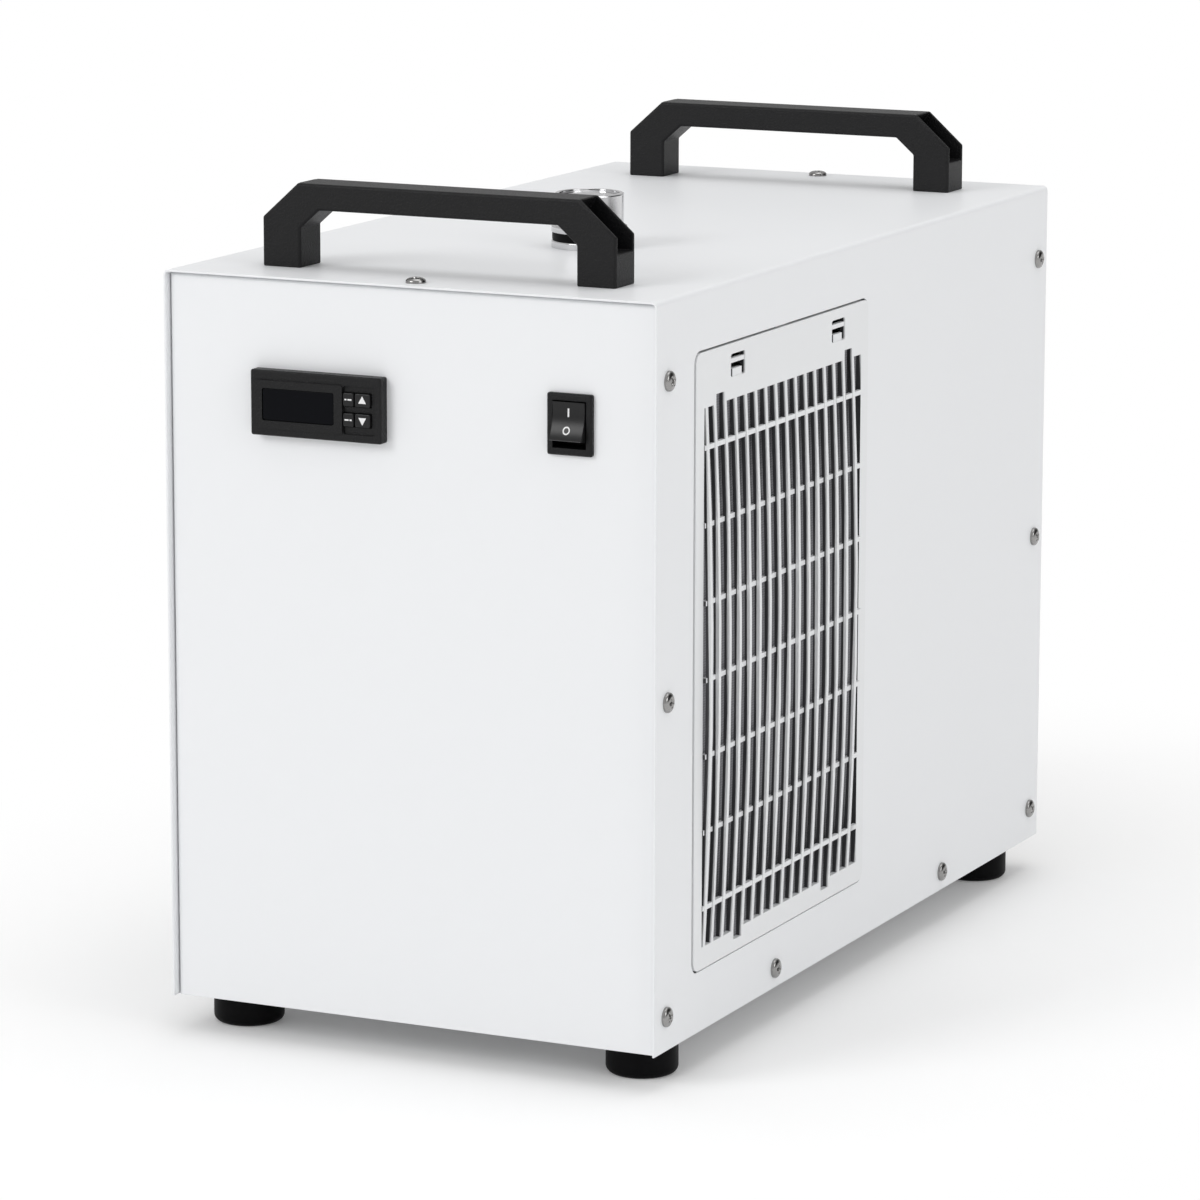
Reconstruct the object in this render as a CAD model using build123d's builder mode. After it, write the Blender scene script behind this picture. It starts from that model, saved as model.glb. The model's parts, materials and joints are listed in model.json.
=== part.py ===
"""A recirculating chiller: sheet-metal casing, side filter grilles, handles and what works inside."""

import os
from math import cos, radians, sin

from build123d import *

# Casing: a folded cover over a front panel, a rear panel and a base pan
CASE_W = 290.0  # across the cover's two sides
CASE_D = 560.0  # front edge to rear edge of the cover
CASE_H = 400.0  # lower edge of the sides to the top
SHEET = 1.2  # thickness of every casing sheet
COVER_BEND = 3.0  # outer bend radius of the cover
PANEL_BEND = 2.0  # outer bend radius of the end panels
PANEL_RECESS = 4.0  # how far the end panels sit inside the cover's edges
PANEL_GAP = 0.5  # from an end panel to the cover's side
PANEL_TOP_GAP = 0.9  # from an end panel to the cover's top
PANEL_FLANGE = 20.0  # depth of the end panels' turned edges
BASE_FLANGE = 22.0  # height of the base pan's turned edges
NOTCH_GAP = 1.0  # round the panel flanges where the base pan is notched

# Feet
FOOT_D = 39.0
FOOT_H = 20.0
FOOT_BEVEL = 3.0
FOOT_SIDE = 25.5  # foot centre to the cover's side
FOOT_END = 40.0  # foot centre to the cover's front or rear edge
FOOT_RECESS_D = 14.0
FOOT_RECESS = 11.0
FOOT_SCREW_D = 5.0
FOOT_HEAD_D = 9.5
FOOT_HEAD_H = 3.0
FOOT_SCREW_TAIL = 5.0  # how far the foot screws stand above the base sheet

# Pan-head screws of the cover
HEAD_D = 10.8
HEAD_H = 3.0
HEAD_CHAMFER = 1.3
SCREW_D = 4.8
SCREW_L = 9.0
HOLE_CLEAR = 0.2  # radial room of a screw in its hole
SCREW_COLUMN = 14.6  # upright screw rows, from the cover's ends
SCREW_LOW = 19.0  # lowest screw of an upright row, above the cover's lower edge
SCREW_HIGH = 357.5
BASE_ROW_Z = 11.2  # bottom row of the sides, above the cover's lower edge
BASE_ROW_Y = 122.3  # bottom row, either side of the casing's middle
TOP_SCREW_IN = 12.6  # the two screws in the top, from the cover's ends

# Bridge handles
HANDLE_W = 209.0
HANDLE_H = 45.5
HANDLE_T = 24.0
HANDLE_MID = 231.5  # handle centre to the casing's middle
HANDLE_CUT_W = 21.3  # outer chamfer, along the handle
HANDLE_CUT_H = 19.0  # outer chamfer, down the leg
HANDLE_LEG = 22.8
HANDLE_GRIP = 14.2  # thickness of the bar
HANDLE_INNER_CUT = 11.2  # inner chamfer along the bar
HANDLE_INNER_DROP = 9.8  # inner chamfer down the leg
HANDLE_ROUND = 1.6
SLOT_T = 19.0  # open slot in each end, across the handle
SLOT_FLOOR = 17.8  # above the casing's top
SLOT_SKIN = 3.2  # wall left between a slot and the hand's side
CHANNEL_T = 15.0  # hollow along the underside of the bar
CHANNEL_DEEP = 4.0
BOLT_D = 6.0
BOLT_HEAD_D = 12.0
BOLT_HEAD_H = 4.0
BOLT_REACH = 12.0  # how far a bolt goes into the leg

# Water filler in the top
FILLER_X = 18.5
FILLER_Y = -95.0  # from the casing's middle
FILLER_FLANGE_D = 42.0
FILLER_FLANGE_H = 4.0
FILLER_NECK_D = 31.0
FILLER_BORE_D = 25.0
FILLER_NECK_UP = 22.0  # neck's rim above the casing's top
FILLER_DIP = 8.0  # how far the neck reaches below the tank's ceiling
NUT_D = 42.0
NUT_H = 5.0
SEAL_H = 4.5
CAP_D = 38.0
CAP_SKIRT_D = 42.0
CAP_SKIRT_H = 3.5
CAP_TOP = 30.0  # cap's top above the casing's top
CAP_DISH_D = 33.0
CAP_DISH = 1.4
CAP_ROOF = 4.0  # thickness of the cap's top at its rim
CAP_BEVEL = 0.7
CAP_GAP = 0.3  # radial room between cap or seal and the neck

# Temperature controller, a snap-in unit with a bezel
CTRL_SIDE = 93.0  # controller centre to the casing's left side
CTRL_X = CTRL_SIDE - CASE_W / 2
CTRL_DROP = 67.2  # controller centre below the casing's top
CTRL_W = 78.0
CTRL_H = 35.2
CTRL_PROUD = 7.0
CTRL_ROUND = 1.2
CTRL_BODY_W = 71.0
CTRL_BODY_H = 29.0
CTRL_BODY_L = 58.0
CUTOUT_GAP = 0.3  # room round a snap-in body in its cut-out
SHIELD_X = -10.0  # raised plate round the display, centre from the controller's
SHIELD_Z = -0.6
SHIELD_W = 52.6
SHIELD_H = 26.0
SHIELD_PROUD = 0.8
WINDOW_X = -10.2
WINDOW_W = 43.0
WINDOW_H = 17.4
WINDOW_DEEP = 1.4  # pocket that the window lies in
WINDOW_T = 1.0
FIELD_X = 26.1
FIELD_W = 18.8
FIELD_H = 25.8
FIELD_DEEP = 1.0
KEY_LEFT_X = 19.9
KEY_LEFT_W = 6.3
KEY_RIGHT_X = 28.3
KEY_RIGHT_W = 9.0
KEY_H = 7.2
KEY_UP_Z = 5.2
KEY_DOWN_Z = -5.6
KEY_L = 4.4
KEY_PROUD = 1.7  # keys above the floor of their field
KEY_GAP = 0.3
KEY_TRAVEL = 0.5
KEY_ROUND = 0.6

# Rocker switch
SWITCH_SIDE = 50.3  # switch centre to the casing's right side
SWITCH_X = CASE_W / 2 - SWITCH_SIDE
SWITCH_DROP = 67.0
SWITCH_W = 26.0
SWITCH_H = 32.6
SWITCH_PROUD = 3.0
SWITCH_BODY_W = 21.8
SWITCH_BODY_H = 27.8
SWITCH_BODY_L = 22.0
SWITCH_WELL_W = 19.2
SWITCH_WELL_H = 24.8
SWITCH_WELL = 13.5
ROCKER_GAP = 0.35
ROCKER_PIVOT = 6.0  # pivot line behind the bezel's face
ROCKER_LIP = 9.6  # lips in front of the pivot line, switch level
ROCKER_HALF = 10.2  # pivot line to a lip, up or down
ROCKER_DISH = 2.2  # hollow of the rocker's face
ROCKER_FOOT = 4.0  # depth behind the pivot line
ROCKER_TILT = 13.0  # either way from level
PIN_D = 3.0
PIN_FIT = 0.05
PIN_REACH = 0.9
TERMINAL_L = 7.0
TERMINAL_W = 6.3
TERMINAL_T = 0.8
TERMINAL_STEP = 8.0
SWITCH_BEVEL = 0.8

# Side grilles, snap-in mouldings with crowned upright blades
GRILLE_W = 232.0
GRILLE_H = 332.4
GRILLE_MID = -116.0  # grille centre from the casing's middle
GRILLE_Z = 200.5  # grille centre above the cover's lower edge
GRILLE_GAP = 1.0
GRILLE_ROUND = 6.0
GRILLE_PROUD = 0.6
GRILLE_T = 3.0
GRILLE_SKIRT = 9.0  # depth of the rim that enters the casing
SKIRT_T = 2.0
SKIRT_RIB = 0.7  # locating ribs on the skirt
SKIRT_RIB_L = 14.0
MESH_W = 211.6  # window of the blades
MESH_LOW = 46.2  # window's lower edge above the cover's lower edge
MESH_HIGH = 337.0
BLADE_COUNT = 15
BLADE_PITCH = 13.3
BLADE_T = 2.9
BLADE_SHIFT = 1.2
BLADE_BACK = 3.0  # depth of the blades, front edge to back edge
BLADE_CROWN = 3.9  # bow of the blades' front edges at mid-height
EDGE_BLADE_STEP = 10.5  # the extra blade at the front end of the window
TALL_SLOT = 5.4
TALL_TOP = (2, 15)  # slots that reach higher, counted from the front
TALL_LOW = (4, 13)  # slots that reach lower
BAR_COUNT = 7
BAR_PITCH = 41.4
BAR_T = 2.6
BAR_DEEP = 2.4
BAR_SET_BACK = 2.1  # behind the blades' front edges
BAR_END_SET_BACK = 0.5
LATCH_W = 18.5
LATCH_H = 12.4
LATCH_Z = 354.8  # latch windows above the cover's lower edge
LATCH_FRONT = 53.4  # front latch from the grille's front edge
LATCH_STEP = 136.0
TONGUE_W = 12.0
TONGUE_T = 2.4
TONGUE_LEDGE = 4.2
TONGUE_BAR = 2.4
FILTER_T = 1.6
FILTER_GAP = 0.3

# Condenser, shroud and fan at the rear
CORE_SIDE = 11.0  # condenser's core to the casing's left side
CORE_LANE = 83.0  # room for hoses and sockets on the core's right
CORE_W = CASE_W - CORE_SIDE - CORE_LANE
FAN_X = CORE_SIDE + CORE_W / 2 - CASE_W / 2
CORE_H = 240.0
CORE_T = 32.0
CORE_FRONT = 140.0  # condenser's front face from the casing's middle
CORE_LOW = 21.6  # core above the base sheet
CORE_FIN_STEP = 20.0
CORE_FIN_DEEP = 1.5
END_PLATE_T = 1.5
BEND_PIPE_D = 9.5
BEND_COUNT = 4
FAN_EDGE = 7.0  # shroud's back plate beside the fan's hole
FAN_HOLE_D = CORE_W - 2 * FAN_EDGE
FAN_TIP_GAP = 5.0
FAN_D = FAN_HOLE_D - 2 * FAN_TIP_GAP
BLADES = 5
HUB_D = 62.0
HUB_L = 26.0
BLADE_CHORD = 46.0
BLADE_ROOT = 13.0  # how deep the blades start in the hub
BLADE_TURN = 30.0  # pitch of the fan blades
FAN_SET_BACK = 3.0  # hub face inside the rear panel
MOTOR_D = 56.0
MOTOR_L = 42.0
MOTOR_GAP = 3.0  # hub to motor
MOTOR_BEVEL = 3.0
SHAFT_D = 8.0
SHAFT_FIT = 0.05
SHAFT_IN = 20.0
ARM_W = 12.0
ARM_T = 2.5
ARM_OUT = 5.0  # motor's legs outside the fan's hole
ARM_R = FAN_HOLE_D / 2 + ARM_OUT
GUARD_RINGS = 6
GUARD_OVER = 3.0  # outer ring outside the fan's hole
GUARD_EYE = 24.0  # radius of the innermost ring
GUARD_D = FAN_HOLE_D + 2 * GUARD_OVER
GUARD_RING_STEP = (GUARD_D / 2 - GUARD_EYE) / (GUARD_RINGS - 1)
GUARD_WIRE = 2.2

# Tank on its stand, evaporator coil inside
TANK_SIDE = 50.0  # tank to the casing's sides
TANK_W = CASE_W - 2 * TANK_SIDE
TANK_L = 265.0
TANK_H = 110.0
TANK_FRONT = -150.0  # from the casing's middle
TANK_TOP_GAP = 17.0
TANK_WALL = 2.5
TANK_ROUND = 8.0
SPIGOT_D = 12.0
SPIGOT_BORE = 8.0
SPIGOT_L = 8.0
STAND_T = 1.5
STAND_FOOT = 16.0
STAND_FRAME = 22.0  # solid border round the openings in the stand's legs
COIL_D = 9.5
COIL_LEGS = 6
COIL_SIDE = 30.0  # outer legs to the tank's sides
COIL_PITCH = (TANK_W - 2 * COIL_SIDE) / (COIL_LEGS - 1)
COIL_UP = 45.0  # above the tank's outer floor
COIL_STUB = 8.0
COIL_FIT = 0.1

# Compressor and pump
COMP_ROOM = 190.0  # width kept free beside the compressor
COMP_SIDE = 25.0  # compressor to the casing's left side
COMP_D = CASE_W - COMP_ROOM
COMP_X = COMP_SIDE + COMP_D / 2 - CASE_W / 2
COMP_Y = -212.0
COMP_H = 172.0
COMP_SHOULDER = 15.0
COMP_PLATE_OUT = 4.0  # plate outside the compressor's outline
COMP_PLATE = COMP_D + 2 * COMP_PLATE_OUT
COMP_PLATE_T = 3.0
GROMMET_D = 20.0
GROMMET_H = 12.0
GROMMET_IN = 7.0  # grommets inside the compressor's outline
GROMMET_AT = COMP_D / 2 - GROMMET_IN
ACC_D = 44.0
ACC_H = 120.0
ACC_UP = 40.0
ACC_GAP = 4.0
STUB_D = 9.5
STUB_L = 10.0
PUMP_SIDE = 65.0  # pump to the casing's right side
PUMP_X = CASE_W / 2 - PUMP_SIDE
PUMP_Y = -205.0
PUMP_BASE = 70.0
PUMP_BASE_T = 4.0
PUMP_MOTOR_D = 64.0
PUMP_MOTOR_H = 74.0
VOLUTE_D = 72.0
VOLUTE_H = 28.0

# Fittings of the rear panel, seen in the casing's own frame
OUTLET_SIDE = 85.0  # to the casing's right side, as the next five
RETURN_SIDE = 135.0
DRAIN_SIDE = 65.0
SOCKET_SIDE = 39.0
ALARM_SIDE = 39.0
HOSE_SIDE = 38.0
OUTLET_X = CASE_W / 2 - OUTLET_SIDE
RETURN_X = CASE_W / 2 - RETURN_SIDE
PIPE_DROP = 70.0  # water fittings below the casing's top
BARB_REACH = 20.0  # in front of the cover's rear edge
BARB_D = 11.0
BARB_BORE = 7.0
BARB_RIDGES = 3
BARB_RIDGE = 0.9
HEX_W = 22.0
HEX_T = 9.0
THREAD_D = 16.0
THREAD_IN = 14.0
DRAIN_X = CASE_W / 2 - DRAIN_SIDE
DRAIN_UP = 32.0  # above the base sheet
DRAIN_D = 14.0
DRAIN_REACH = 11.0
DRAIN_FLANGE_T = 3.0
DRAIN_SEAL_T = 1.6
DRAIN_CAP_D = 22.0
DRAIN_CAP_L = 13.0
DRAIN_FLUTES = 8  # grip flutes round the cap
DRAIN_FLUTE_R = 2.2
DRAIN_FLUTE_OUT = 1.5
GAUGE_SIDE = 65.0  # gauge to the casing's left side
GAUGE_X = GAUGE_SIDE - CASE_W / 2
GAUGE_LOW = 22.0  # lower port above the tank's outer floor
GAUGE_SPAN = 72.0
GAUGE_W = 20.0
GAUGE_END = 14.0
GAUGE_TUBE_D = 12.0
SOCKET_X = CASE_W / 2 - SOCKET_SIDE
SOCKET_UP = 150.0
SOCKET_W = 30.0
SOCKET_H = 48.0
SOCKET_FACE_T = 3.0
SOCKET_BODY_W = 27.0
SOCKET_BODY_H = 44.0
SOCKET_BODY_L = 28.0
SOCKET_HOLE_W = 22.5
SOCKET_HOLE_H = 16.5
SOCKET_HOLE_UP = 9.0
SOCKET_DEEP = 16.0
SOCKET_PIN_L = 12.0
SOCKET_PIN_W = 2.0
SOCKET_PIN_H = 4.0
SOCKET_PIN_X = 7.0  # outer pins, either side of the middle one
SOCKET_PIN_Z = 2.0
DRAWER_W = 20.0
DRAWER_H = 9.0
DRAWER_L = 20.0
DRAWER_DOWN = 14.0
DRAWER_GAP = 0.3
DRAWER_PULL = 1.5
ALARM_X = CASE_W / 2 - ALARM_SIDE
ALARM_UP = 215.0
ALARM_D = 16.0
ALARM_NUT_D = 21.0
ALARM_NUT_T = 3.0
ALARM_REACH = 12.0
ALARM_IN = 12.0
ALARM_BORE = 12.0
ALARM_DEEP = 9.0
ALARM_PIN_L = 5.0
ALARM_PIN_R = 0.8
ALARM_PINS_AT = 3.0  # radius of the pins' circle

# Control box on the base sheet, and the pipes
BOX_SIDE = 105.0  # box centre to the casing's right side
BOX_X = CASE_W / 2 - BOX_SIDE
BOX_Y = 20.0
BOX_W = 96.0
BOX_L = 120.0
BOX_H = 66.0
BOX_LID = 2.0
BOX_ROUND = 4.0
HOSE_D = 15.0
HOSE_BEND = 26.0
HOSE_TIGHT = 20.0
DRYER_D = 24.0
DRYER_L = 80.0
DRYER_TAPER = 5.0
DRYER_Y = 20.0
GAS_PIPE_D = 9.5
LIQUID_PIPE_D = 6.4
PIPE_BEND = 12.0
GAS_SIDE = 27.0  # gas pipe to the casing's left side
LIQUID_SIDE = 39.0
GAS_LANE = GAS_SIDE - CASE_W / 2
LIQUID_LANE = LIQUID_SIDE - CASE_W / 2
HOSE_LANE = CASE_W / 2 - HOSE_SIDE
RISER_BEHIND = 28.0  # rising hoses behind the condenser

# Where everything stands. The origin is under the middle of the whole machine.
tilt = radians(ROCKER_TILT)
LIP_REACH = ROCKER_LIP * cos(tilt) + ROCKER_HALF * sin(tilt)
FRONT_REACH = SWITCH_PROUD - ROCKER_PIVOT + LIP_REACH - PANEL_RECESS
Y_MID = (FRONT_REACH - BARB_REACH) / 2
Y_FRONT = Y_MID - CASE_D / 2
Y_REAR = Y_MID + CASE_D / 2
Y_PANEL = Y_FRONT + PANEL_RECESS
Y_BACK = Y_REAR - PANEL_RECESS
Y_BACK_IN = Y_BACK - SHEET
Z_BASE = FOOT_H
Z_FLOOR = Z_BASE + SHEET
Z_TOP = Z_BASE + CASE_H
Z_ROOF = Z_TOP - SHEET
SIDE_IN = CASE_W / 2 - SHEET
PANEL_HALF = SIDE_IN - PANEL_GAP
PANEL_Z = Z_ROOF - PANEL_TOP_GAP
LOW = (Align.CENTER, Align.CENTER, Align.MIN)
HIGH = (Align.CENTER, Align.CENTER, Align.MAX)

foot_spots = [
    (sx * (CASE_W / 2 - FOOT_SIDE), Y_MID + sy * (CASE_D / 2 - FOOT_END)) for sy in (-1, 1) for sx in (-1, 1)
]
screw_mid = (SCREW_LOW + SCREW_HIGH) / 2
side_screws = [
    (Y_MID + sy * (CASE_D / 2 - SCREW_COLUMN), Z_BASE + z)
    for sy in (-1, 1)
    for z in (SCREW_LOW, screw_mid, SCREW_HIGH)
]
base_screws = [(Y_MID + sy * BASE_ROW_Y, Z_BASE + BASE_ROW_Z) for sy in (-1, 1)]
top_screws = [(0, Y_MID + sy * (CASE_D / 2 - TOP_SCREW_IN)) for sy in (-1, 1)]
leg_x = (HANDLE_W - HANDLE_LEG) / 2
handle_bolts = [(sx * leg_x, Y_MID + sy * HANDLE_MID) for sy in (-1, 1) for sx in (-1, 1)]
filler = (FILLER_X, Y_MID + FILLER_Y)
grille_y = Y_MID + GRILLE_MID
grille_z = Z_BASE + GRILLE_Z
fan_z = Z_FLOOR + CORE_LOW + CORE_H / 2
core_y = Y_MID + CORE_FRONT
tank_y = Y_MID + TANK_FRONT + TANK_L / 2
tank_front = Y_MID + TANK_FRONT
tank_back = tank_front + TANK_L
tank_high = Z_TOP - TANK_TOP_GAP
tank_low = tank_high - TANK_H
pipe_z = Z_TOP - PIPE_DROP
drain_z = Z_FLOOR + DRAIN_UP
coil_z = tank_low + COIL_UP
coil_half = COIL_PITCH * (COIL_LEGS - 1) / 2
gauge_low = tank_low + GAUGE_LOW
gauge_high = gauge_low + GAUGE_SPAN
gauge_mid = (gauge_low + gauge_high) / 2
suction_z = tank_low + SPIGOT_D
hole_r = SCREW_D / 2 + HOLE_CLEAR


def facing_rear(x, y, z):
    """A plane whose normal points out of the rear, at a spot on the casing."""
    return Plane(origin=(x, y, z), x_dir=(-1, 0, 0), z_dir=(0, 1, 0))


def facing_front(x, y, z):
    """A plane whose normal points out of the front."""
    return Plane(origin=(x, y, z), x_dir=(1, 0, 0), z_dir=(0, -1, 0))


pieces = {}


def keep(name, part):
    """Labels a finished piece and lists it for export."""
    part.label = name
    pieces[name] = part


# Cover: top and two sides folded from one sheet
with BuildPart() as cover:
    with BuildSketch(Plane.XZ.offset(-Y_REAR)):
        with Locations((0, Z_BASE + CASE_H / 2)):
            Rectangle(CASE_W, CASE_H)
        fillet(vertices().group_by(Axis.Y)[-1], COVER_BEND)
    extrude(amount=CASE_D)
    with BuildSketch(Plane.XZ.offset(-Y_REAR)):
        with Locations((0, Z_BASE + (CASE_H - SHEET) / 2)):
            Rectangle(CASE_W - 2 * SHEET, CASE_H - SHEET)
        fillet(vertices().group_by(Axis.Y)[-1], COVER_BEND - SHEET)
    extrude(amount=CASE_D, mode=Mode.SUBTRACT)
    with BuildSketch(Plane.YZ.offset(-CASE_W)):
        with Locations((grille_y, grille_z)):
            RectangleRounded(GRILLE_W + 2 * GRILLE_GAP, GRILLE_H + 2 * GRILLE_GAP, GRILLE_ROUND + GRILLE_GAP)
        with Locations(*side_screws, *base_screws):
            Circle(hole_r)
    extrude(amount=2 * CASE_W, mode=Mode.SUBTRACT)
    with BuildSketch(Plane.XY.offset(Z_ROOF - SHEET)):
        with Locations(*top_screws):
            Circle(hole_r)
        with Locations(*handle_bolts):
            Circle(BOLT_D / 2 + HOLE_CLEAR)
        with Locations(filler):
            Circle(FILLER_NECK_D / 2 + HOLE_CLEAR)
    extrude(amount=3 * SHEET, mode=Mode.SUBTRACT)
keep("cover", cover.part)


def folded_block(y_face, inwards, inset, bend):
    """A block the size of an end panel, its face's top and side edges rounded."""
    with BuildPart() as block:
        with Locations((0, y_face + inwards * (PANEL_FLANGE / 2 + inset), Z_BASE)):
            Box(2 * (PANEL_HALF - inset), PANEL_FLANGE, PANEL_Z - Z_BASE - inset, align=LOW)
        face = faces().sort_by(Axis.Y)[0 if inwards > 0 else -1]
        fillet([e for e in face.edges() if e.center().Z > Z_BASE + 1], bend)
    return block.part


def end_tray(y_face, inwards):
    """An end panel, its top and side edges turned into the casing and cut clear of bolt heads."""
    with BuildPart() as tray:
        add(folded_block(y_face, inwards, 0, PANEL_BEND))
        add(folded_block(y_face, inwards, SHEET, PANEL_BEND - SHEET), mode=Mode.SUBTRACT)
        with BuildSketch(Plane.YZ.offset(-CASE_W)):
            with Locations(*side_screws):
                Circle(hole_r)
        extrude(amount=2 * CASE_W, mode=Mode.SUBTRACT)
        with BuildSketch(Plane.XY.offset(PANEL_Z - 2 * SHEET)):
            with Locations(*top_screws):
                Circle(hole_r)
        extrude(amount=3 * SHEET, mode=Mode.SUBTRACT)
        with BuildSketch(Plane.XY.offset(Z_ROOF - BOLT_HEAD_H - NOTCH_GAP)):
            with Locations(*handle_bolts):
                Circle(BOLT_HEAD_D / 2 + NOTCH_GAP)
        extrude(amount=BOLT_HEAD_H + 2 * NOTCH_GAP, mode=Mode.SUBTRACT)
    return tray


# Front panel, with the cut-outs for the controller and the switch
front_tray = end_tray(Y_PANEL, 1)
ctrl_z = Z_TOP - CTRL_DROP
switch_z = Z_TOP - SWITCH_DROP
with BuildPart() as front_panel:
    add(front_tray.part)
    with BuildSketch(facing_front(0, Y_PANEL + 2 * SHEET, 0)):
        with Locations((CTRL_X, ctrl_z)):
            Rectangle(CTRL_BODY_W + 2 * CUTOUT_GAP, CTRL_BODY_H + 2 * CUTOUT_GAP)
        with Locations((SWITCH_X, switch_z)):
            Rectangle(SWITCH_BODY_W + 2 * CUTOUT_GAP, SWITCH_BODY_H + 2 * CUTOUT_GAP)
    extrude(amount=3 * SHEET, mode=Mode.SUBTRACT)
keep("front_panel", front_panel.part)

# Rear panel, with the fan outlet and the holes for the fittings
rear_tray = end_tray(Y_BACK, -1)
socket_z = Z_FLOOR + SOCKET_UP
alarm_z = Z_FLOOR + ALARM_UP
with BuildPart() as rear_panel:
    add(rear_tray.part)
    with BuildSketch(facing_rear(0, Y_BACK - 2 * SHEET, 0)):
        with Locations((-FAN_X, fan_z)):
            Circle(FAN_HOLE_D / 2)
        with Locations((-OUTLET_X, pipe_z), (-RETURN_X, pipe_z)):
            Circle(THREAD_D / 2 + HOLE_CLEAR)
        with Locations((-DRAIN_X, drain_z)):
            Circle(DRAIN_D / 2 + HOLE_CLEAR)
        with Locations((-GAUGE_X, gauge_low), (-GAUGE_X, gauge_high)):
            Circle(SPIGOT_D / 2 + HOLE_CLEAR)
        with Locations((-SOCKET_X, socket_z)):
            Rectangle(SOCKET_BODY_W + 2 * CUTOUT_GAP, SOCKET_BODY_H + 2 * CUTOUT_GAP)
        with Locations((-ALARM_X, alarm_z)):
            Circle(ALARM_D / 2 + HOLE_CLEAR)
    extrude(amount=3 * SHEET, mode=Mode.SUBTRACT)
keep("rear_panel", rear_panel.part)

# Base pan, notched where the panels' flanges come down
pan_front = Y_PANEL + SHEET
pan_length = Y_BACK_IN - pan_front
notch_w = SHEET + PANEL_GAP + NOTCH_GAP
notch_l = PANEL_FLANGE - SHEET + NOTCH_GAP
with BuildPart() as base_pan:
    with Locations((0, Y_MID, Z_BASE)):
        Box(2 * SIDE_IN, pan_length, BASE_FLANGE, align=LOW)
    with Locations((0, Y_MID, Z_FLOOR)):
        Box(2 * (SIDE_IN - SHEET), pan_length - 2 * SHEET, BASE_FLANGE, align=LOW, mode=Mode.SUBTRACT)
    notch_spots = [
        (sx * (SIDE_IN - notch_w / 2), Y_MID + sy * (pan_length - notch_l) / 2, Z_BASE)
        for sx in (-1, 1)
        for sy in (-1, 1)
    ]
    with Locations(*notch_spots):
        Box(notch_w, notch_l, BASE_FLANGE, align=LOW, mode=Mode.SUBTRACT)
    with BuildSketch(Plane.YZ.offset(-CASE_W)):
        with Locations(*base_screws):
            Circle(hole_r)
    extrude(amount=2 * CASE_W, mode=Mode.SUBTRACT)
    with BuildSketch(Plane.XY.offset(Z_BASE - SHEET)):
        with Locations(*foot_spots):
            Circle(FOOT_SCREW_D / 2 + HOLE_CLEAR)
    extrude(amount=3 * SHEET, mode=Mode.SUBTRACT)
keep("base_pan", base_pan.part)


# Feet: rubber, screwed on from below
def rubber_foot(spot):
    with BuildPart() as foot:
        with BuildSketch():
            with Locations(spot):
                Circle(FOOT_D / 2)
        extrude(amount=FOOT_H)
        chamfer(edges().group_by(Axis.Z)[0], FOOT_BEVEL)
        with Locations((*spot, 0)):
            Cylinder(FOOT_RECESS_D / 2, FOOT_RECESS, align=LOW, mode=Mode.SUBTRACT)
            Cylinder(FOOT_SCREW_D / 2 + HOLE_CLEAR, FOOT_H, align=LOW, mode=Mode.SUBTRACT)
    return foot.part


for name, spot in zip(("foot_front_left", "foot_front_right", "foot_rear_left", "foot_rear_right"), foot_spots):
    keep(name, rubber_foot(spot))

with BuildPart() as foot_screws:
    with Locations(*[(*spot, FOOT_RECESS) for spot in foot_spots]):
        Cylinder(FOOT_HEAD_D / 2, FOOT_HEAD_H, align=HIGH)
        Cylinder(FOOT_SCREW_D / 2, Z_FLOOR - FOOT_RECESS + FOOT_SCREW_TAIL, align=LOW)
keep("foot_screws", foot_screws.part)

# Cover screws: pan heads outside, shanks through cover and flange
with BuildPart() as pan_screw:
    Cylinder(HEAD_D / 2, HEAD_H, align=LOW)
    chamfer(edges().group_by(Axis.Z)[-1], HEAD_CHAMFER)
    Cylinder(SCREW_D / 2, SCREW_L, align=HIGH)
screw_places = [Location((x, y, Z_TOP)) for x, y in top_screws]
for y, z in side_screws + base_screws:
    screw_places.append(Location((CASE_W / 2, y, z), (0, 90, 0)))
    screw_places.append(Location((-CASE_W / 2, y, z), (0, -90, 0)))
with BuildPart() as cover_screws:
    with Locations(*screw_places):
        add(pan_screw.part)
keep("cover_screws", cover_screws.part)


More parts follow.
